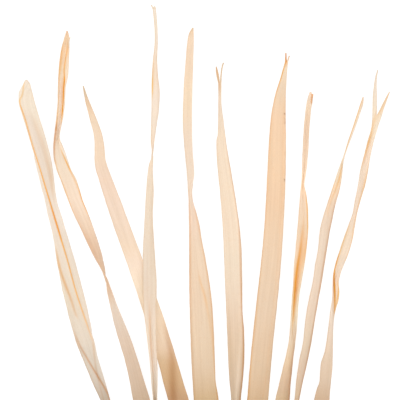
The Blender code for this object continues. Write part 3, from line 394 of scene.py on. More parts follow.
        "seed": 6.0, "bow": 0.7, "round": 0.2, "rib": 2.5, "tine_rise": {"left": 2.0, "right": 1.0},
        "tone": [(63, .91, .80, .68), (83, .94, .84, .73), (100, .94, .842, .75), (140, .957, .86, .762),
                 (180, .96, .86, .758), (220, .958, .857, .757), (260, .942, .846, .746), (300, .934, .826, .722),
                 (330, .918, .80, .685), (355, .903, .785, .665), (380, .885, .772, .66), (399, .85, .738, .62),
                 (475, .77, .625, .47), (506, .75, .60, .435)],
        "bands": [
            {"path": [(66, 216.3, 1.6, .6), (72, 217, 1.6, .9), (80, 218.3, 1.2, .9), (86, 219.5, 1.2, .8), (92, 219.7, 1.2, .3)], "tint": (.92, .76, .60)},
            # painted shade on the narrow right side that falls away from the crease; the next line is a painted
            # highlight on the crease ridge
            {"path": [(136, 225, .8, .1), (170, 230.2, .8, .4), (230, 239.2, .9, .6), (300, 241.6, 1, .9), (340, 243.6, 1.1, 1), (370, 242.8, 1.2, 1), (399, 240.2, 1.4, 1)], "tint": (.80, .60, .42)},
            {"path": [(318, 242, .8, .1), (335, 240.6, 1, .5), (360, 238.8, 1.3, .7), (380, 237.2, 1.5, .8), (404, 235.6, 1.6, .8)], "tint": (1.07, 1.10, 1.14)},
            {"path": [(300, 229, 2, .1), (340, 230.5, 2.5, .4), (370, 231.5, 2.5, .5), (399, 232.6, 2.5, .5)], "tint": (.92, .87, .79)},
        ],
    },
    "leaflet_right_2": {
        "seed": 7.0, "bow": 0.8, "round": 0.25, "rib": 2.9, "cols": 34,
        "tone": [(53, .92, .76, .60), (62, .965, .87, .775), (75, .945, .845, .738), (95, .942, .823, .703), (120, .952, .815, .68), (160, .952, .816, .677), (200, .945, .806, .668), (250, .938, .814, .69),
                 (300, .928, .81, .693), (340, .918, .792, .665), (370, .907, .782, .65), (385, .895, .76, .62),
                 (399, .87, .73, .58), (480, .775, .615, .45), (554, .735, .575, .405)],
        # painted shade along the fold line: its strength down the blade
        "fold_painted_shade": [(90, 0), (105, .08), (130, .1), (399, .1), (420, 0), (700, 0)],
        "bands": [
            {"path": [(56, 286, .6, .5), (60, 285.8, .8, 1), (66, 284.5, .7, 1.1), (75, 281.9, .75, 1.3), (85, 278.7, .75, 1.1), (95, 275.7, .75, .7), (115, 272, .8, .35), (150, 269.4, .8, .3), (200, 266.6, .8, .35), (300, 257.4, 1, .5), (360, 251, 1, .7), (399, 248, 1.2, .7)], "tint": (.96, .75, .46)},
            {"path": [(53, 286, 1, .4), (57, 286, 1, .8), (61, 286.2, .9, 1), (67, 285.6, .8, .3)], "tint": (.92, .62, .28), "fade": 1},
            {"path": [(113.2, 284.6, .6, 1), (114.6, 284.6, .6, 1)], "tint": (.55, .38, .28), "fade": 1},
            {"path": [(118.5, 284.7, .45, .8), (120, 284.8, .4, .3), (123.5, 284.7, .5, .9)], "tint": (.62, .46, .34), "fade": 1},
            {"path": [(179.6, 284.4, .6, 1), (180.6, 284.4, .6, 1)], "tint": (.45, .32, .24), "fade": 1},
            {"path": [(153, 283.9, .5, .4), (154, 283.9, .5, .4)], "tint": (.74, .58, .45), "fade": 1.2},
        ],
    },
    "leaflet_right_3": {
        "seed": 8.0, "bow": 0.9, "round": 0.13, "rib": 2.2, "cols": 26,
        "slivers": [([(94, 312.7, .4), (96, 312.1, .95), (99, 311.8, .8), (102, 311.5, .5), (104.5, 311.1, .2)], .25)],
        "tone": [(92, .97, .87, .775), (105, .955, .855, .755), (130, .937, .825, .72), (160, .955, .855, .76),
                 (184, .978, .88, .785), (200, .955, .855, .76),
                 # painted light: the lower rows are set paler, to offset the shade of the steep lower blade
                 (225, .942, .832, .72), (250, .952, .842, .728), (280, .95, .858, .75), (310, .953, .893, .812), (335, .945, .857, .765), (360, .935, .825, .70),
                 (385, .92, .80, .68), (399, .90, .78, .64), (485, .765, .615, .46), (604, .72, .56, .395)],
        "bands": [
            # painted shade in the valley along the crease, and its softer edge on the next line
            {"path": [(222, 303.2, 1.4, .05), (235, 301.8, 1.5, .4), (250, 300, 1.6, .75), (265, 297.4, 1.7, .95), (280, 295.4, 1.8, 1), (300, 293.9, 1.4, .95), (315, 292.9, 1.1, .7), (328, 292.3, .9, .3), (340, 292, .8, 0)], "tint": PAINTED_FOLD_SHADE},
            {"path": [(222, 304, 2.5, .05), (238, 303.8, 2.6, .4), (255, 302.2, 2.6, .75), (270, 299.4, 2.4, .7), (285, 297.2, 2, .7), (300, 295.4, 1.8, .6), (318, 293.8, 1.5, .3)], "tint": (1, .80, .54)},
            {"path": [(186, 305, .6, .5), (200, 306.4, .7, .9), (215, 307.4, .7, 1.1), (230, 307.8, .8, 1.1), (245, 306.4, 1, .9), (258, 304.4, 1.1, .5), (270, 302.6, 1, .1)], "tint": (.99, .77, .42)},
            {"path": [(188, 301.4, .6, .3), (205, 300, .7, .3), (230, 297.8, .7, .2), (250, 296, .8, .2)], "tint": (.96, .85, .70)},
            {"path": [(190, 302.8, .6, .2), (205, 303.2, 1, .4), (222, 303.4, 1.2, .4), (235, 302.8, 1.2, .3)], "tint": (.98, .88, .74)},
            {"path": [(94, 312.4, 1.0, 1), (98, 311.9, .9, 1), (103, 311.5, .7, .8)], "tint": (.90, .55, .26), "fade": 1.5},
            {"path": [(330, 296, .8, .2), (355, 293, .9, .7), (380, 290.2, 1, .8), (399, 288.9, 1, .8)], "tint": (.86, .70, .56)},
            {"path": [(360, 284, 1.5, .1), (385, 280.3, 2.5, .5), (404, 277, 3, .6)], "tint": (.90, .86, .80)},
        ],
    },
    "leaflet_right_4": {
        "seed": 9.0, "bow": 1.0, "round": 0.16, "rib": 2.1, "cols": 24,
        "tone": [(97, .94, .82, .70), (120, .95, .865, .78), (150, .938, .865, .80), (170, .945, .865, .78),
                 (190, .96, .845, .725), (215, .94, .835, .738), (250, .935, .838, .748), (300, .935, .832, .74),
                 (340, .92, .825, .725), (370, .90, .785, .68), (390, .875, .755, .63), (399, .855, .73, .60),
                 (490, .775, .63, .475), (656, .71, .55, .385)],
        "bands": [
            {"path": [(100, 361.4, .8, .5), (120, 355.4, .8, .8), (140, 348.6, .7, .8), (155, 344.2, .7, .3)], "tint": (.97, .77, .46)},
            {"path": [(160, 342.2, .7, .4), (170, 340.9, .8, .9), (180, 338.9, .8, 1.1), (188, 336.2, .8, .7), (200, 331, .8, .5), (212, 327.2, .8, .3)], "tint": (.95, .75, .47)},
            {"path": [(175, 336.8, .7, .2), (188, 333, .7, .5), (200, 328.4, .7, .4)], "tint": (.99, .84, .64)},
            # painted shade along the rolled right edge
            {"path": [(165, 342.8, .8, .1), (185, 340, .9, .3), (205, 335, 1.2, .6), (230, 329.4, 1, .7), (300, 317.6, 1, .9), (360, 307, 1, .9), (399, 298.8, 1, .9)], "tint": (.84, .68, .53)},
        ],
    },
    "leaflet_right_5": {
        "seed": 10.0, "bow": 0.9, "round": 0.14, "rib": 2.3, "cols": 26, "tine_rise": {"left": 1.5, "right": 3.0},
        "tone": [(70, .955, .873, .80), (95, .957, .872, .79), (116, .958, .87, .775), (130, .955, .872, .78),
                 (150, .955, .862, .778), (175, .945, .85, .762), (210, .93, .828, .738), (240, .95, .85, .752),
                 (270, .95, .85, .757), (300, .945, .862, .785), (330, .915, .815, .725), (360, .91, .798, .69),
                 (380, .89, .772, .66), (399, .855, .72, .59), (490, .77, .63, .475), (600, .73, .58, .42), (709, .70, .54, .375)],
        "bands": [
            {"path": [(92, 388.8, 1.2, .7), (100, 385.3, 1.6, .8), (110, 380.6, 1.8, .8), (118, 377, 2, .3), (126, 374.8, 2, .1)], "tint": (.97, .82, .62)},
            {"path": [(112, 376.2, .8, .2), (120, 373.8, 1.6, .5), (135, 370.4, 1.5, .85), (143, 368, 1.4, 1.1), (150, 366.2, 1.3, .9), (163, 362.7, 1.2, .5), (172, 360.6, 1, .1)], "tint": (.95, .75, .48)},
            {"path": [(165, 368.5, .9, .3), (185, 364.4, 1.1, .8), (205, 358.6, 1, .8), (225, 354, 1, .7), (245, 350.8, 1, .7), (260, 345.6, 1, .4)], "tint": (.98, .80, .52)},
            {"path": [(252, 338.8, .9, .2), (262, 336.2, .9, .8), (270, 333.9, .9, 1.1), (276, 333.6, .9, 1.2), (285, 334.3, .95, 1.2), (295, 334.8, .8, 1.25), (305, 334.8, .75, 1), (312, 334.5, .7, .6), (318, 334, .7, .1)], "tint": (.92, .59, .14)},
            {"path": [(225, 348.6, .8, .3), (240, 343.4, .9, .7), (255, 338.4, 1, .8), (262, 335.6, 1, .5)], "tint": ORANGE},
            {"path": [(282, 337.4, .7, .5), (289, 338.2, .8, 1), (296, 337.7, .8, 1.1), (303, 336.5, .7, .9), (312, 335.4, .7, .3)], "tint": (.98, .76, .38)},
        ],
    },
}

# painted light: a blade on edge is made paler than a level one, to offset its shade
STEEP_PAINTED_LIGHT = 0.12             # how much paler a blade standing on edge is than a level one
LIGHT = np.array([1.05, 0.944, 0.875])      # how strongly the pale surroundings light a leaf, per colour


def to_linear(c):
    c = np.asarray(c, float)
    return np.where(c <= 0.04045, c / 12.92, ((c + 0.055) / 1.055) ** 2.4)


# ---------------------------------------------------------------- curve helpers
def curve(keys, column, y):
    """Shape-preserving cubic through rows of numbers, at every y of an array."""
    t = np.array([k[0] for k in keys], float)
    v = np.array([k[column] for k in keys], float)
    y = np.clip(np.asarray(y, float), t[0], t[-1])
    if len(t) == 1:
        return np.full_like(y, v[0])
    h = np.diff(t)
    d = np.diff(v) / h
    m = np.zeros(len(t))
    m[0], m[-1] = d[0], d[-1]
    for i in range(1, len(t) - 1):
        if d[i - 1] * d[i] > 0:
            a, b = 2 * h[i] + h[i - 1], h[i] + 2 * h[i - 1]
            m[i] = (a + b) / (a / d[i - 1] + b / d[i])
    i = np.clip(np.searchsorted(t, y, side="right") - 1, 0, len(t) - 2)
    s = (y - t[i]) / h[i]
    return ((1 + 2 * s) * (1 - s) ** 2 * v[i] + s * (1 - s) ** 2 * h[i] * m[i]
            + s * s * (3 - 2 * s) * v[i + 1] + s * s * (s - 1) * h[i] * m[i + 1])


def smoothstep(a, b, x):
    s = np.clip((x - a) / (b - a), 0, 1)
    return s * s * (3 - 2 * s)


def wander(t, seed, octaves=3):
    """Smooth repeatable wandering number, about -1 to 1, along t."""
    rng = np.random.default_rng(int(round(seed)) + 100)
    out = np.zeros_like(np.asarray(t, float))
    total = 0.0
    for k in range(octaves):
        amp = 0.55 ** k
        for _ in range(3):
            f, p = rng.uniform(0.6, 1.6) * 2 ** k, rng.uniform(0, 2 * math.pi)
            out += amp / 3 * np.sin(f * t + p) * 1.7
        total += amp
    return out / total


def rachis_x(y):
    return 222.0 + 4.5 * np.maximum(0.0, (np.asarray(y, float) - 500.0) / 290.0) ** 2


def rachis_half(y):
    s = np.clip((np.asarray(y, float) - RACHIS_TIP_Y) / (RACHIS_CUT_Y - RACHIS_TIP_Y), 0, 1)
    return RACHIS_TIP_HALF + (RACHIS_CUT_HALF - RACHIS_TIP_HALF) * s ** 0.8


def rachis_top(y):
    return RACHIS_HEIGHT * rachis_half(y) + 1.2


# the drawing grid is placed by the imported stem's own box
low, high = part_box("rachis")
ORIGIN_X = high.x - (float(rachis_x(RACHIS_CUT_Y)) + RACHIS_CUT_HALF * math.cos(math.radians(15)) ** 0.85) * UNIT
ORIGIN_Y = low.y + RACHIS_CUT_Y * UNIT


def world(x, y, z):
    """Drawing grid to metres."""
    return np.stack([ORIGIN_X + np.asarray(x) * UNIT, ORIGIN_Y - np.asarray(y) * UNIT, np.asarray(z) * UNIT], -1)


# ---------------------------------------------------------------- blades
def full_rows(name, leaflet):
    """The rows down to y 399, then a fair run from there to the foot beside the stem."""
    rows = [tuple(float(c) for c in r) for r in leaflet["rows"]]
    side = -1.0 if "left" in name else 1.0
    foot_y = leaflet["foot_y"]
    last, before = rows[-1], rows[-3]
    run = foot_y - last[0]
    centre = lambda r: (min(r[1:4]) + max(r[1:4])) / 2
    slope = (centre(last) - centre(before)) / (last[0] - before[0])
    target = float(rachis_x(foot_y)) + side * (float(rachis_half(foot_y)) + JOIN_GAP + FOOT_WIDTH / 2)
    end_slope = 1.75 * (target - centre(last)) / run
    flip = 1.0 if last[1] < last[3] else -1.0
    start_wide = max(last[1:4]) - min(last[1:4])
    for k in range(1, LOWER_ROWS + 1):
        s = k / LOWER_ROWS
        y = last[0] + run * s
        c = ((1 + 2 * s) * (1 - s) ** 2 * centre(last) + s * (1 - s) ** 2 * run * slope
             + s * s * (3 - 2 * s) * target + s * s * (s - 1) * run * end_slope)
        full = float(curve(leaflet["width"], 1, min(y, leaflet["width"][-1][0])))
        wide = (start_wide * (1 - s) ** 3 + 3 * s * (1 - s) ** 2 * 0.5 * (start_wide + leaflet["foot_fold"] * full)
                + 3 * s * s * (1 - s) * 0.62 * leaflet["foot_fold"] * full + s ** 3 * FOOT_WIDTH)
        ease = s * s * (3 - 2 * s)
        f = (last[2] - min(last[1:4])) / max(start_wide, 1e-6)
        f = f * (1 - ease) + 0.5 * ease
        q = last[4] * (1 - ease) + 0.5 * ease
        lo, hi = c - wide / 2, c + wide / 2
        left, right = (lo, hi) if flip > 0 else (hi, lo)
        sl = last[5] * (1 - ease) + ease
        sr = last[6] * (1 - ease) + ease
        rows.append((y, left, lo + f * wide, right, q, sl, sr))
    # the foot runs on into the stem
    y = foot_y + 9
    c = float(rachis_x(y)) + side * float(rachis_half(y)) * 0.45
    rows.append((y, c - flip * 1.5, c, c + flip * 1.5, .5, 1, 1))
    return rows


def width_keys(leaflet):
    foot = leaflet["foot_y"]
    keys = list(leaflet["width"])
    last_y, last_w = keys[-1]
    if last_y < foot - 30:
        keys += [(foot - 25, 0.5 * (last_w + FOOT_WIDTH))]
    return keys + [(foot, FOOT_WIDTH + 0.8), (foot + 9, 3.2)]


def lift_keys(leaflet):
    foot = leaflet["foot_y"]
    rise = 0.34 * float(rachis_top(foot))
    return list(leaflet["lift"]) + [(foot - 45, leaflet["lift"][-1][1] * 0.6 + 0.3 * rise), (foot, rise), (foot + 9, rise + 0.6)]


def even(values, step, sigma):
    """Average along an evenly spaced run, sigma in the run's own units."""
    n = max(1, int(3 * sigma / step))
    k = np.exp(-0.5 * (np.arange(-n, n + 1) * step / sigma) ** 2)
    k /= k.sum()
    return np.convolve(np.pad(values, n, mode="edge"), k, mode="valid")


def even_rows(v):
    """A grid averaged a little along its rows, so single steps do not count."""
    pad = np.pad(v, ((2, 2), (0, 0)), mode="edge")
    return (pad[:-4] + pad[1:-3] + pad[2:-2] + pad[3:-1] + pad[4:]) / 5


def crease_mix(u, r):
    """Weights of right margin, left margin and crease for a rounded fold, exact at both margins."""
    g = lambda t: (t + np.sqrt(t * t + r * r)) / (1 + math.sqrt(1 + r * r))
    pin = g(-1.0)
    a = g(u) - np.where(u < 0, np.abs(u) * pin, 0.0)
    b = g(-u) - np.where(u > 0, np.abs(u) * pin, 0.0)
    return a, b


def stations(rows, start=None):
    start, end = start or rows[0][0], rows[-1][0]
    ys, y = [], start
    while y < end:
        ys.append(y)
        y += 0.7 if y < start + 14 else 1.4 if y < 402 else 2.8
    ys.append(end)
    return np.array(ys)


def blade(name, leaflet):
    """One leaflet as a fine grid: vertices, quads and the per-vertex numbers its finish reads."""
    look = LOOKS[name]
    rows = full_rows(name, leaflet)
    grid = np.arange(rows[0][0], rows[-1][0] + 0.25, 0.5)
    xl, xf, xr, q, sl, sr = (curve(rows, c, grid) for c in range(1, 7))
    w = curve(width_keys(leaflet), 1, grid)
    hl = even(sl * np.sqrt(np.maximum((q * w) ** 2 - (xf - xl) ** 2, 0)), 0.5, 3.2)
    hr = even(sr * np.sqrt(np.maximum(((1 - q) * w) ** 2 - (xr - xf) ** 2, 0)), 0.5, 3.2)
    base = FLOOR_GAP + curve(lift_keys(leaflet), 1, grid) - np.minimum(0, np.minimum(hl, hr))
    base = even(base, 0.5, 4.0)
    seed = look["seed"]
    base += 0.35 * (1 + wander(grid / 22.0, seed + 5)) * smoothstep(420, 380, grid)
    ys = stations(rows, look.get("start"))
    at = lambda v: np.interp(ys, grid, v)
    cols = look.get("cols", 30)
    t = np.linspace(0, 1, cols + 1)
    t = t + 0.045 * np.sin(2 * math.pi * t) * -1.0            # a little closer together at the margins
    Q, W = at(q)[:, None], at(w)[:, None]
    T = np.broadcast_to(t[None, :], (len(ys), cols + 1))
    u = np.where(T < Q, (T - Q) / np.maximum(Q, 1e-6), (T - Q) / np.maximum(1 - Q, 1e-6))
    r = look.get("round", 0.12)
    a, b = crease_mix(u, r)
    XL, XF, XR = at(xl)[:, None], at(xf)[:, None], at(xr)[:, None]
    HL, HR, Z = at(hl)[:, None], at(hr)[:, None], at(base)[:, None]
    x = XF + (XR - XF) * a + (XL - XF) * b
    z = Z + HR * a + HL * b
    # a blade is never quite flat across: it bows, ribs run along it, and it buckles a little
    dx, dz = XR - XL, HR - HL
    size = np.maximum(np.hypot(dx, dz), 1e-6)
    nx, nz = -dz / size, dx / size
    s = T * 2 - 1
    bow = look.get("bow", 0.9) * np.minimum(1.0, W / 12.0)
    across = T * W
    ribs = look.get("rib_height", 0.009) * np.cos(across * 2 * math.pi / look.get("rib", 2.6) + seed)
    buckle = 0.16 * np.sin(3.2 * s + 0.05 * ys[:, None] + seed) * wander(ys[:, None] / 15.0, seed + 9)
    off = bow * (1 - s * s) + (ribs + buckle) * np.minimum(1.0, (1 - np.abs(s)) * 6)
    x = x + nx * off
    z = z + nz * off
    edge = 0.10 * wander(ys / 3.2, seed + 1)[:, None] * np.clip(-s, 0, 1) ** 6 + 0.10 * wander(ys / 3.7, seed + 2)[:, None] * np.clip(s, 0, 1) ** 6
    x = x + edge * np.where(ys[:, None] < 420, 1.0, 0.4)
    z = np.maximum(z, 0.28)
    for step in look.get("steps", ()):
        z = z + step_height(step, x, ys[:, None])
    along = ys - rows[0][0]
    one = np.abs(XL - XF) / np.maximum(np.hypot(XL - XF, HL), 1e-6)
    two = np.abs(XR - XF) / np.maximum(np.hypot(XR - XF, HR), 1e-6)
    level = even_rows(one + (two - one) * smoothstep(-0.4, 0.4, u))
    data = {
        "level": level,
        "x": x, "y": np.broadcast_to(ys[:, None], x.shape), "z": z,
        "across": (T - 0.5) * W * UNIT * 1000,
        "along": np.broadcast_to(along[:, None], x.shape) * UNIT * 1000,
        "edge": np.minimum(T, 1 - T) * W * UNIT * 1000,
        "fold": (T - Q) * W * UNIT * 1000,
        "t": T,
    }
    n, m = x.shape
    idx = np.arange(n * m).reshape(n, m)
    quads = np.stack([idx[:-1, :-1], idx[1:, :-1], idx[1:, 1:], idx[:-1, 1:]], -1).reshape(-1, 4)
    flat = {k: v.reshape(-1).copy() for k, v in data.items()}
    split = leaflet.get("split") or look.get("prongs")
    faces = [quads]
    if split:
        half = m // 2
        top_z = z[0]
        for part, cols_in in (("left", idx[0, :half + 1]), ("right", idx[0, half:])):
            tine = split[part]
            y0, y1 = tine[0][0], ys[0]
            k = max(6, int((y1 - y0) / 0.9))
            ty = y1 + (y0 - y1) * np.arange(1, k + 1) / k
            p, qx = curve(tine, 1, ty), curve(tine, 2, ty)
            fat = 0.5 * max(0.0, 1.25 - abs(float(np.mean(qx - p))))
            p, qx = p - fat * (1 - (ty - y0) / (y1 - y0)), qx + fat * (1 - (ty - y0) / (y1 - y0))
            c = len(cols_in)
            f = np.linspace(0, 1, c)
            zz = np.interp(f, np.linspace(0, 1, c), top_z[cols_in])
            share = (np.arange(1, k + 1) / k)[:, None]
            rise = look.get("tine_rise", {}).get(part, 0.6)
            Xn = p[:, None] + (qx - p)[:, None] * f
            Zn = zz[None, :] + rise * share ** 1.5 + 0.25 * (1 - (2 * f - 1) ** 2) * (1 - 0.5 * share)
            start = len(flat["x"])
            new = np.arange(start, start + k * c).reshape(k, c)
            full = np.vstack([cols_in[None, :], new])
            # wound the same way as the blade
            faces.append(np.stack([full[1:, :-1], full[:-1, :-1], full[:-1, 1:], full[1:, 1:]], -1).reshape(-1, 4))
            wide = np.abs(qx - p)[:, None] * UNIT * 1000
            add = {
                "level": np.full(Xn.shape, 0.95),
                "x": Xn, "y": np.broadcast_to(ty[:, None], Xn.shape), "z": Zn,
                "across": (f - 0.5) * wide, "along": np.broadcast_to((ty - y1)[:, None] * UNIT * 1000, Xn.shape),
                "edge": np.minimum(f, 1 - f) * wide, "fold": np.full(Xn.shape, 9.0), "t": np.broadcast_to(f, Xn.shape),
            }
            for key in flat:
                flat[key] = np.concatenate([flat[key], add[key].reshape(-1)])
    for path, rise in look.get("slivers", ()):
        k = max(6, int((path[-1][0] - path[0][0]) / 0.8))
        sy = np.linspace(path[0][0], path[-1][0], k)
        sx, hw = curve(path, 1, sy), curve(path, 2, sy)
        f = np.linspace(0, 1, 5)
        under = np.interp(sy, ys, z.max(axis=1))
        Xn = sx[:, None] + hw[:, None] * (2 * f - 1)
        Zn = under[:, None] + rise * np.linspace(1, 0.3, k)[:, None] + 0.2 * (1 - (2 * f - 1) ** 2)
        start = len(flat["x"])
        new = np.arange(start, start + k * 5).reshape(k, 5)
        faces.append(np.stack([new[:-1, :-1], new[1:, :-1], new[1:, 1:], new[:-1, 1:]], -1).reshape(-1, 4))
        add = {
            "level": np.full(Xn.shape, 0.95),
            "x": Xn, "y": np.broadcast_to(sy[:, None], Xn.shape), "z": Zn,
            "across": (f - 0.5) * hw[:, None] * 2 * UNIT * 1000, "along": np.broadcast_to(sy[:, None] * UNIT * 1000, Xn.shape),
            "edge": np.full(Xn.shape, 2.0), "fold": np.full(Xn.shape, 9.0), "t": np.broadcast_to(f, Xn.shape),
        }
        for key in flat:
            flat[key] = np.concatenate([flat[key], add[key].reshape(-1)])
    return flat, np.concatenate(faces), rows


def step_height(step, x, y):
    """A small step up to one side of a line on the blade, dying away at both ends."""
    keys = step["path"]
    px = curve(keys, 1, y)
    d = (x - px) * step["side"]
    inside = smoothstep(keys[0][0], keys[0][0] + 12, y) * smoothstep(keys[-1][0], keys[-1][0] - step.get("end", 12), y)
    reach = step.get("reach", 4.0)
    return step["height"] * inside * smoothstep(-0.5, 0.3, d) * np.clip(1 - np.maximum(d, 0) / reach, 0, 1)


def paint(name, flat):
    """Colour of each leaflet: pale straw at the tips, tan lower down, with its lines and marks, painted shade in its
    folds and painted light on its steep and shaded parts.
    """
    look = LOOKS[name]
    y, x = flat["y"], flat["x"]
    keys = look["tone"]
    colour = to_linear(np.stack([curve(keys, c, y) for c in (1, 2, 3)], -1)) / LIGHT
    # painted light: the steep sides are made paler, to offset the shade they stand in
    colour = colour * (1 + STEEP_PAINTED_LIGHT * (1 - flat["level"][:, None]))
    for band in look.get("bands", ()):
        path = band["path"]                       # (y, x, half width, strength)
        px, hw, st = curve(path, 1, y), curve(path, 2, y), curve(path, 3, y)
        on = smoothstep(path[0][0] - band.get("fade", 6), path[0][0] + 0.5, y) * smoothstep(path[-1][0] + band.get("fade", 6), path[-1][0] - 0.5, y)
        d = (x - px) / np.maximum(hw, 0.05)
        side = band.get("side", 0)
        if side:
            m = np.where(d * side < 0, np.exp(-(d * 2.2) ** 2), np.exp(-np.maximum(d * side, 0) ** 2))
        else:
            m = np.exp(-d * d)
        m = (m * st * on)[:, None]
        colour = colour * (1 - m + m * np.array(band["tint"]))
    return np.clip(colour, 0, 1)


# ---------------------------------------------------------------- materials
def node(tree, kind, **settings):
    made = tree.nodes.new(kind)
    for key, value in settings.items():
        setattr(made, key, value)
    return made


def link(tree, a, b):
    tree.links.new(a, b)


def math_node(tree, op, a, b=None, clamp=False):
    n = node(tree, "ShaderNodeMath", operation=op, use_clamp=clamp)
    for i, v in enumerate((a, b)):
        if v is None:
            continue
        if isinstance(v, (int, float)):
            n.inputs[i].default_value = v
        else:
            link(tree, v, n.inputs[i])
    return n.outputs[0]


def ramp(tree, value, low, high, to_low=0.0, to_high=1.0):
    n = node(tree, "ShaderNodeMapRange", interpolation_type="SMOOTHSTEP")
    link(tree, value, n.inputs["Value"])
    n.inputs["From Min"].default_value = low
    n.inputs["From Max"].default_value = high
    n.inputs["To Min"].default_value = to_low
    n.inputs["To Max"].default_value = to_high
    return n.outputs[0]


def mix_colour(tree, mode, factor, a, b):
    n = node(tree, "ShaderNodeMix", data_type="RGBA", blend_type=mode)
    for socket, v in ((n.inputs[0], factor), (n.inputs[6], a), (n.inputs[7], b)):
        if isinstance(v, (int, float)):
            socket.default_value = v
        elif isinstance(v, tuple):
            socket.default_value = v
        else:
            link(tree, v, socket)
    return n.outputs[2]


def noise(tree, vector, scale, detail=3.0, rough=0.55):
    n = node(tree, "ShaderNodeTexNoise")
    link(tree, vector, n.inputs["Vector"])
    n.inputs["Scale"].default_value = scale
    n.inputs["Detail"].default_value = detail
    n.inputs["Roughness"].default_value = rough
    return n.outputs["Fac"]


def scaled(tree, vector, x, y, z):
    n = node(tree, "ShaderNodeVectorMath", operation="MULTIPLY")
    link(tree, vector, n.inputs[0])
    n.inputs[1].default_value = (x, y, z)
    return n.outputs[0]


def leaf_material():
    """Dried palm leaf: long fine veins, streaks and mottling, yellowed margins, and painted shade along the fold line.
    """
    m = bpy.data.materials.new("dried_leaflet")
    m.use_nodes = True
    t = m.node_tree
    t.nodes.clear()
    out = node(t, "ShaderNodeOutputMaterial")
    tint = node(t, "ShaderNodeAttribute", attribute_name="tint").outputs["Color"]
    place = node(t, "ShaderNodeAttribute", attribute_name="place").outputs["Vector"]      # across, along, leaflet; mm
    masks = node(t, "ShaderNodeSeparateXYZ")
    link(t, node(t, "ShaderNodeAttribute", attribute_name="masks").outputs["Vector"], masks.inputs[0])
    edge, fold, fold_painted_shade = masks.outputs

    broad = noise(t, scaled(t, place, 0.55, 0.012, 3.1), 1.0, 2.0)
    streak = noise(t, scaled(t, place, 1.6, 0.02, 5.3), 1.0, 3.0)
    fine = noise(t, scaled(t, place, 4.6, 0.035, 7.7), 1.0, 2.0)
    mottle = noise(t, scaled(t, place, 0.5, 0.35, 9.1), 1.0, 4.0, 0.6)
    grain = noise(t, scaled(t, place, 3.0, 0.6, 2.3), 1.0, 4.0, 0.65)

    light = math_node(t, "ADD", ramp(t, broad, 0.3, 0.7, -0.02, 0.02), ramp(t, streak, 0.3, 0.7, -0.010, 0.010))
    light = math_node(t, "ADD", light, ramp(t, fine, 0.3, 0.7, -0.010, 0.010))
    light = math_node(t, "ADD", light, ramp(t, grain, 0.3, 0.7, -0.024, 0.024))
    light = math_node(t, "ADD", light, 1.0)
    shade = node(t, "ShaderNodeCombineColor")
    link(t, light, shade.inputs[0])
    link(t, math_node(t, "POWER", light, 1.35), shade.inputs[1])
    link(t, math_node(t, "POWER", light, 1.9), shade.inputs[2])
    colour = mix_colour(t, "MULTIPLY", 1.0, tint, shade.outputs[0])
    # warmer and greyer patches
    colour = mix_colour(t, "MULTIPLY", ramp(t, mottle, 0.52, 0.75, 0.0, 0.55), colour, (0.985, 0.93, 0.86, 1))
    colour = mix_colour(t, "MULTIPLY", ramp(t, mottle, 0.46, 0.25, 0.0, 0.5), colour, (0.965, 0.965, 0.985, 1))
    # yellowed margin
    rim = ramp(t, edge, 0.12, 0.95, 1.0, 0.0)
    colour = mix_colour(t, "MULTIPLY", math_node(t, "MULTIPLY", rim, 0.55), colour, (0.92, 0.80, 0.63, 1))
    # painted shade along the fold line
    near = ramp(t, math_node(t, "ABSOLUTE", fold), 0.15, 1.0, 1.0, 0.0)
    colour = mix_colour(t, "MULTIPLY", math_node(t, "MULTIPLY", near, fold_painted_shade), colour, (0.99, 0.72, 0.42, 1))

    shader = node(t, "ShaderNodeBsdfPrincipled")
    link(t, colour, shader.inputs["Base Color"])
    link(t, ramp(t, streak, 0.25, 0.75, 0.5, 0.68), shader.inputs["Roughness"])
    shader.inputs["Specular IOR Level"].default_value = 0.28
    # veins and fibres stand a few hundredths of a millimetre proud
    wave = node(t, "ShaderNodeTexWave", wave_type="BANDS", bands_direction="X", wave_profile="SIN")
    link(t, scaled(t, place, 1.0, 0.004, 1.0), wave.inputs["Vector"])
    wave.inputs["Scale"].default_value = 0.36
    wave.inputs["Distortion"].default_value = 0.6
    wave.inputs["Detail"].default_value = 1.0
    height = math_node(t, "ADD", math_node(t, "MULTIPLY", wave.outputs["Fac"], 0.25), math_node(t, "MULTIPLY", fine, 0.9))
    height = math_node(t, "ADD", height, math_node(t, "MULTIPLY", grain, 0.25))
    bump = node(t, "ShaderNodeBump")
    bump.inputs["Strength"].default_value = 0.25
    bump.inputs["Distance"].default_value = 0.00009
    link(t, height, bump.inputs["Height"])
    link(t, bump.outputs[0], shader.inputs["Normal"])
    glow = node(t, "ShaderNodeBsdfTranslucent")
    link(t, mix_colour(t, "MULTIPLY", 1.0, colour, (1.0, 0.97, 0.93, 1)), glow.inputs["Color"])
    both = node(t, "ShaderNodeMixShader")
    both.inputs[0].default_value = 0.36
    link(t, shader.outputs[0], both.inputs[1])
    link(t, glow.outputs[0], both.inputs[2])
    link(t, both.outputs[0], out.inputs["Surface"])
    return m


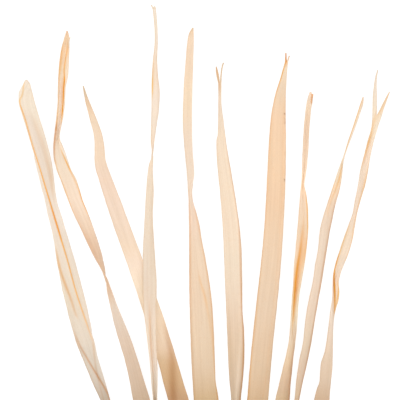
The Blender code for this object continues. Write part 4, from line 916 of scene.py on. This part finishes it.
def stem_material():
    """Dried stem: long fibres, darker grooves and bleached ridges."""
    m = bpy.data.materials.new("dried_rachis")
    m.use_nodes = True
    t = m.node_tree
    t.nodes.clear()
    out = node(t, "ShaderNodeOutputMaterial")
    tint = node(t, "ShaderNodeAttribute", attribute_name="tint").outputs["Color"]
    place = node(t, "ShaderNodeAttribute", attribute_name="place").outputs["Vector"]
    broad = noise(t, scaled(t, place, 0.35, 0.02, 3.1), 1.0, 3.0)
    fibre = noise(t, scaled(t, place, 2.2, 0.03, 5.3), 1.0, 4.0, 0.6)
    fine = noise(t, scaled(t, place, 6.5, 0.08, 7.7), 1.0, 3.0)
    mottle = noise(t, scaled(t, place, 0.4, 0.22, 9.1), 1.0, 4.0, 0.6)
    light = math_node(t, "ADD", ramp(t, broad, 0.3, 0.7, -0.09, 0.09), ramp(t, fibre, 0.3, 0.7, -0.14, 0.12))
    light = math_node(t, "ADD", light, ramp(t, fine, 0.3, 0.7, -0.08, 0.06))
    light = math_node(t, "ADD", light, 1.0)
    shade = node(t, "ShaderNodeCombineColor")
    link(t, light, shade.inputs[0])
    link(t, math_node(t, "POWER", light, 1.3), shade.inputs[1])
    link(t, math_node(t, "POWER", light, 1.7), shade.inputs[2])
    colour = mix_colour(t, "MULTIPLY", 1.0, tint, shade.outputs[0])
    colour = mix_colour(t, "MULTIPLY", ramp(t, mottle, 0.5, 0.72, 0.0, 0.7), colour, (0.93, 0.82, 0.70, 1))
    shader = node(t, "ShaderNodeBsdfPrincipled")
    link(t, colour, shader.inputs["Base Color"])
    link(t, ramp(t, fibre, 0.25, 0.75, 0.52, 0.78), shader.inputs["Roughness"])
    shader.inputs["Specular IOR Level"].default_value = 0.25
    height = math_node(t, "ADD", math_node(t, "MULTIPLY", fibre, 1.0), math_node(t, "MULTIPLY", fine, 0.5))
    bump = node(t, "ShaderNodeBump")
    bump.inputs["Strength"].default_value = 0.5
    bump.inputs["Distance"].default_value = 0.0003
    link(t, height, bump.inputs["Height"])
    link(t, bump.outputs[0], shader.inputs["Normal"])
    link(t, shader.outputs[0], out.inputs["Surface"])
    return m


def put_attributes(mesh, tint, place, masks=None):
    n = len(mesh.vertices)
    a = mesh.color_attributes.new("tint", "FLOAT_COLOR", "POINT")
    a.data.foreach_set("color", np.concatenate([tint, np.ones((n, 1))], 1).astype(np.float32).ravel())
    b = mesh.attributes.new("place", "FLOAT_VECTOR", "POINT")
    b.data.foreach_set("vector", place.astype(np.float32).ravel())
    if masks is not None:
        c = mesh.attributes.new("masks", "FLOAT_VECTOR", "POINT")
        c.data.foreach_set("vector", masks.astype(np.float32).ravel())


def new_mesh(name, points, faces):
    mesh = bpy.data.meshes.new(name)
    mesh.from_pydata(np.asarray(points, float).tolist(), [], np.asarray(faces).tolist())
    mesh.update()
    mesh.shade_smooth()
    obj = bpy.data.objects.new(name, mesh)
    bpy.context.scene.collection.objects.link(obj)
    return obj


def make_leaflet(name, leaflet, material):
    look = LOOKS[name]
    flat, faces, rows = blade(name, leaflet)
    obj = new_mesh(name + "_blade", world(flat["x"], flat["y"], flat["z"]), faces)
    tint = paint(name, flat)
    place = np.stack([flat["across"], flat["along"], np.full_like(flat["across"], look["seed"])], -1)
    # strength of the painted shade along the fold line
    line = curve(look.get("fold_painted_shade", [(0, 0), (800, 0)]), 1, flat["y"])
    masks = np.stack([flat["edge"], flat["fold"], line], -1)
    put_attributes(obj.data, tint, place, masks)
    obj.data.materials.append(material)
    thick = obj.modifiers.new("blade_thickness", "SOLIDIFY")
    thick.thickness = THICK
    thick.offset = 0.0
    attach(obj, "root")
    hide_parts(name)
    return obj


# ---------------------------------------------------------------- stem
def tube(path, radii, sides=14):
    """Closed tapering tube along a path, as points and faces."""
    path = np.asarray(path, float)
    n = len(path)
    tangent = np.gradient(path, axis=0)
    tangent /= np.linalg.norm(tangent, axis=1)[:, None]
    up = np.array([0.0, 0.0, 1.0])
    side = np.cross(tangent, up)
    side /= np.linalg.norm(side, axis=1)[:, None]
    top = np.cross(side, tangent)
    a = 2 * math.pi * np.arange(sides) / sides
    pts = []
    for i in range(n):
        rs, rt = radii[i]
        pts.append(path[i] + np.cos(a)[:, None] * side[i] * rs + np.sin(a)[:, None] * top[i] * rt)
    pts = np.concatenate(pts)
    faces = []
    for i in range(n - 1):
        for j in range(sides):
            k = (j + 1) % sides
            faces.append((i * sides + j, i * sides + k, (i + 1) * sides + k, (i + 1) * sides + j))
    faces.append(tuple(range(sides))[::-1])
    faces.append(tuple((n - 1) * sides + j for j in range(sides)))
    return pts, faces


def make_stem(material):
    """The rachis with the swollen foot of every leaflet grown onto it."""
    sides = 28
    ys = np.concatenate([np.linspace(RACHIS_TIP_Y, RACHIS_TIP_Y + 6, 5)[:-1], np.arange(RACHIS_TIP_Y + 6, RACHIS_CUT_Y, 3.0), [RACHIS_CUT_Y]])
    pts, faces = [], []
    for k, y in enumerate(ys):
        half, top = float(rachis_half(y)), float(rachis_top(y))
        end = 0.45 + 0.55 * math.sqrt(min(1.0, (y - RACHIS_TIP_Y) / 6.0))
        half, top = half * end, top * end
        a = 2 * math.pi * (np.arange(sides) + 0.5) / sides
        c, s = np.cos(a), np.sin(a)
        x = half * np.sign(c) * np.abs(c) ** 0.85
        z = np.where(s > -0.6, top * (0.42 + 0.58 * s), 0.0)
        z = np.maximum(z, 0.0) + 0.02
        pts.append(np.stack([float(rachis_x(y)) + x, np.full(sides, y), z], -1))
    pts = np.concatenate(pts)
    n = len(ys)
    for i in range(n - 1):
        for j in range(sides):
            k = (j + 1) % sides
            faces.append((i * sides + j, (i + 1) * sides + j, (i + 1) * sides + k, i * sides + k))
    faces.append(tuple(range(sides)))
    faces.append(tuple((n - 1) * sides + j for j in range(sides))[::-1])
    all_pts, all_faces = [pts], list(faces)
    count = len(pts)
    for name, leaflet in LEAFLETS.items():
        foot = leaflet["foot_y"]
        rows = full_rows(name, leaflet)
        yy = np.linspace(foot + 8.5, foot - 14, 18)
        s = foot - yy
        xx = curve(rows, 2, yy)
        zz = curve(lift_keys(leaflet), 1, yy) + FLOOR_GAP
        wide = np.interp(s, [-9, -2, 4, 9, 14], [3.6, 3.5, 2.4, 1.0, 0.35])
        tall = np.interp(s, [-9, -2, 4, 9, 14], [2.8, 2.6, 1.9, 1.0, 0.4])
        zz = np.maximum(zz + np.interp(s, [-9, 0, 5, 9, 14], [0.8, 0.6, 0.8, 1.3, 1.7]), tall + 0.05)   # ends inside the blade's gutter
        p, f = tube(np.stack([xx, yy, zz], -1), np.stack([wide, tall], -1))
        all_pts.append(p)
        all_faces += [tuple(i + count for i in face) for face in f]
        count += len(p)
    pts = np.concatenate(all_pts)
    rough = bpy.data.meshes.new("stem_rough")
    rough.from_pydata([tuple(v) for v in world(pts[:, 0], pts[:, 1], pts[:, 2])], [], all_faces)
    rough.update()
    cage = bpy.data.objects.new("stem_rough", rough)
    bpy.context.scene.collection.objects.link(cage)
    grow = cage.modifiers.new("grow_together", "REMESH")
    grow.mode = "VOXEL"
    grow.voxel_size = 0.0006
    calm = cage.modifiers.new("even", "SMOOTH")
    calm.factor, calm.iterations = 0.5, 3
    bpy.context.view_layer.update()
    mesh = bpy.data.meshes.new_from_object(cage.evaluated_get(bpy.context.evaluated_depsgraph_get()))
    bpy.data.objects.remove(cage, do_unlink=True)
    n = len(mesh.vertices)
    co = np.empty(n * 3, np.float32)
    no = np.empty(n * 3, np.float32)
    mesh.vertices.foreach_get("co", co)
    mesh.vertices.foreach_get("normal", no)
    co, no = co.reshape(-1, 3).astype(float), no.reshape(-1, 3).astype(float)
    x = (co[:, 0] - ORIGIN_X) / UNIT
    y = (ORIGIN_Y - co[:, 1]) / UNIT
    z = co[:, 2] / UNIT
    half, top = rachis_half(y), rachis_top(y)
    off = (x - rachis_x(y)) / half
    turn = np.arctan2(z / top - 0.42, off)
    round_mm = turn * half * UNIT * 1000
    # long fibres stand up along the stem; the cut end is torn
    fibre = np.cos(turn * 17 + 1.3 * wander(y / 40.0, 21)) * 0.5 + np.cos(turn * 29 + 2 + 1.1 * wander(y / 26.0, 22)) * 0.35 + 0.5 * wander(y / 9.0 + 6 * turn, 23)
    depth = 0.16 * smoothstep(1.9, 0.9, np.abs(off)) * smoothstep(0.3, 1.4, z)
    co += no * (fibre * depth * UNIT)[:, None]
    torn = smoothstep(RACHIS_CUT_Y - 1.6, RACHIS_CUT_Y - 0.4, y)
    co[:, 1] += torn * (0.5 + 0.5 * np.sin(x * 5.1 + 1.7 * z) * np.sin(z * 4.3 + x)) * 0.7 * UNIT
    co[:, 2] = np.maximum(co[:, 2], 0.0)
    mesh.vertices.foreach_set("co", co.astype(np.float32).ravel())
    mesh.update()
    mesh.shade_smooth()
    # colour: tan stem, yellower towards the tip, orange-brown where the leaflets grow out
    keys = [(465, .80, .64, .44), (520, .77, .60, .41), (600, .72, .55, .37), (700, .66, .49, .32), (795, .60, .43, .27)]
    colour = np.stack([curve(keys, c, y) for c in (1, 2, 3)], -1)
    colour = np.clip(colour * (1 + 0.07 * wander(turn * 5 + y / 60.0, 31)[:, None]), 0, 1)
    joint = np.zeros(n)
    for name, leaflet in LEAFLETS.items():
        foot = leaflet["foot_y"]
        side = -1.0 if "left" in name else 1.0
        fx = float(rachis_x(foot)) + side * (float(rachis_half(foot)) + 0.6)
        joint = np.maximum(joint, np.exp(-(((x - fx) / 3.2) ** 2 + ((y - foot - 2) / 6.0) ** 2)))
    colour = colour * (1 - joint[:, None] * (1 - np.array([0.97, 0.86, 0.70])))
    end = smoothstep(RACHIS_CUT_Y - 1.0, RACHIS_CUT_Y - 0.2, y)[:, None]
    dots = (np.sin(x * 2.9 + 0.8 * np.sin(z * 2.1)) * np.sin(z * 3.1 + 0.7 * np.sin(x * 1.7)) > 0.45)[:, None]
    colour = colour * (1 - end) + end * np.where(dots, [0.42, 0.27, 0.15], [0.74, 0.58, 0.40])
    tint = to_linear(colour) / LIGHT
    place = np.stack([round_mm, y * UNIT * 1000, np.zeros(n)], -1)
    put_attributes(mesh, tint, place)
    obj = bpy.data.objects.new("rachis_grown", mesh)
    bpy.context.scene.collection.objects.link(obj)
    mesh.materials.clear()
    mesh.materials.append(material)
    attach(obj, "root")
    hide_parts("rachis")
    return obj


# ---------------------------------------------------------------- the frond
leaf = leaf_material()
stem = stem_material()
for leaflet_name, leaflet_rows in LEAFLETS.items():
    make_leaflet(leaflet_name, leaflet_rows, leaf)
make_stem(stem)

# ---------------------------------------------------------------- floor, light, camera
floor_mesh = bpy.data.meshes.new("floor")
size = 8.0
floor_mesh.from_pydata([(-size, -size, -0.0002), (size, -size, -0.0002), (size, size, -0.0002), (-size, size, -0.0002)], [], [(0, 1, 2, 3)])
floor = bpy.data.objects.new("floor", floor_mesh)
bpy.context.scene.collection.objects.link(floor)
paper = bpy.data.materials.new("pale_floor")
paper.use_nodes = True
paper.node_tree.nodes["Principled BSDF"].inputs["Base Color"].default_value = (0.24, 0.24, 0.24, 1)
paper.node_tree.nodes["Principled BSDF"].inputs["Roughness"].default_value = 0.9
paper.node_tree.nodes["Principled BSDF"].inputs["Specular IOR Level"].default_value = 0.1
paper.node_tree.nodes["Principled BSDF"].inputs["Emission Color"].default_value = (1, 1, 1, 1)
paper.node_tree.nodes["Principled BSDF"].inputs["Emission Strength"].default_value = 0.81
floor_mesh.materials.append(paper)

scene = bpy.context.scene
world_light = bpy.data.worlds.new("soft_room")
world_light.use_nodes = True
world_light.node_tree.nodes["Background"].inputs["Color"].default_value = (1, 1, 1, 1)
world_light.node_tree.nodes["Background"].inputs["Strength"].default_value = 1.22
scene.world = world_light
lamp = bpy.data.lights.new("softbox", "AREA")
lamp.shape = "SQUARE"
lamp.size = 1.3
lamp.energy = 6.0
lamp_obj = bpy.data.objects.new("softbox", lamp)
lamp_obj.location = (-0.35, 0.7, 2.4)
lamp_obj.rotation_mode = "QUATERNION"
from mathutils import Vector  # noqa: E402
lamp_obj.rotation_quaternion = (-Vector(lamp_obj.location)).to_track_quat("-Z", "Y")
scene.collection.objects.link(lamp_obj)
scene.view_settings.view_transform = "Standard"
scene.view_settings.look = "None"

# straight above the leaflets' free halves: 400 steps of the grid fill the view
camera = bpy.data.cameras.new("camera")
camera.sensor_width = 36.0
camera.lens = 300.0
camera_obj = bpy.data.objects.new("camera", camera)
spot = world(200.0, 200.0, 0.0)
camera_obj.location = (float(spot[0]), float(spot[1]), 400 * UNIT * camera.lens / camera.sensor_width)
camera.clip_start, camera.clip_end = 0.1, 100.0
scene.collection.objects.link(camera_obj)
scene.camera = camera_obj
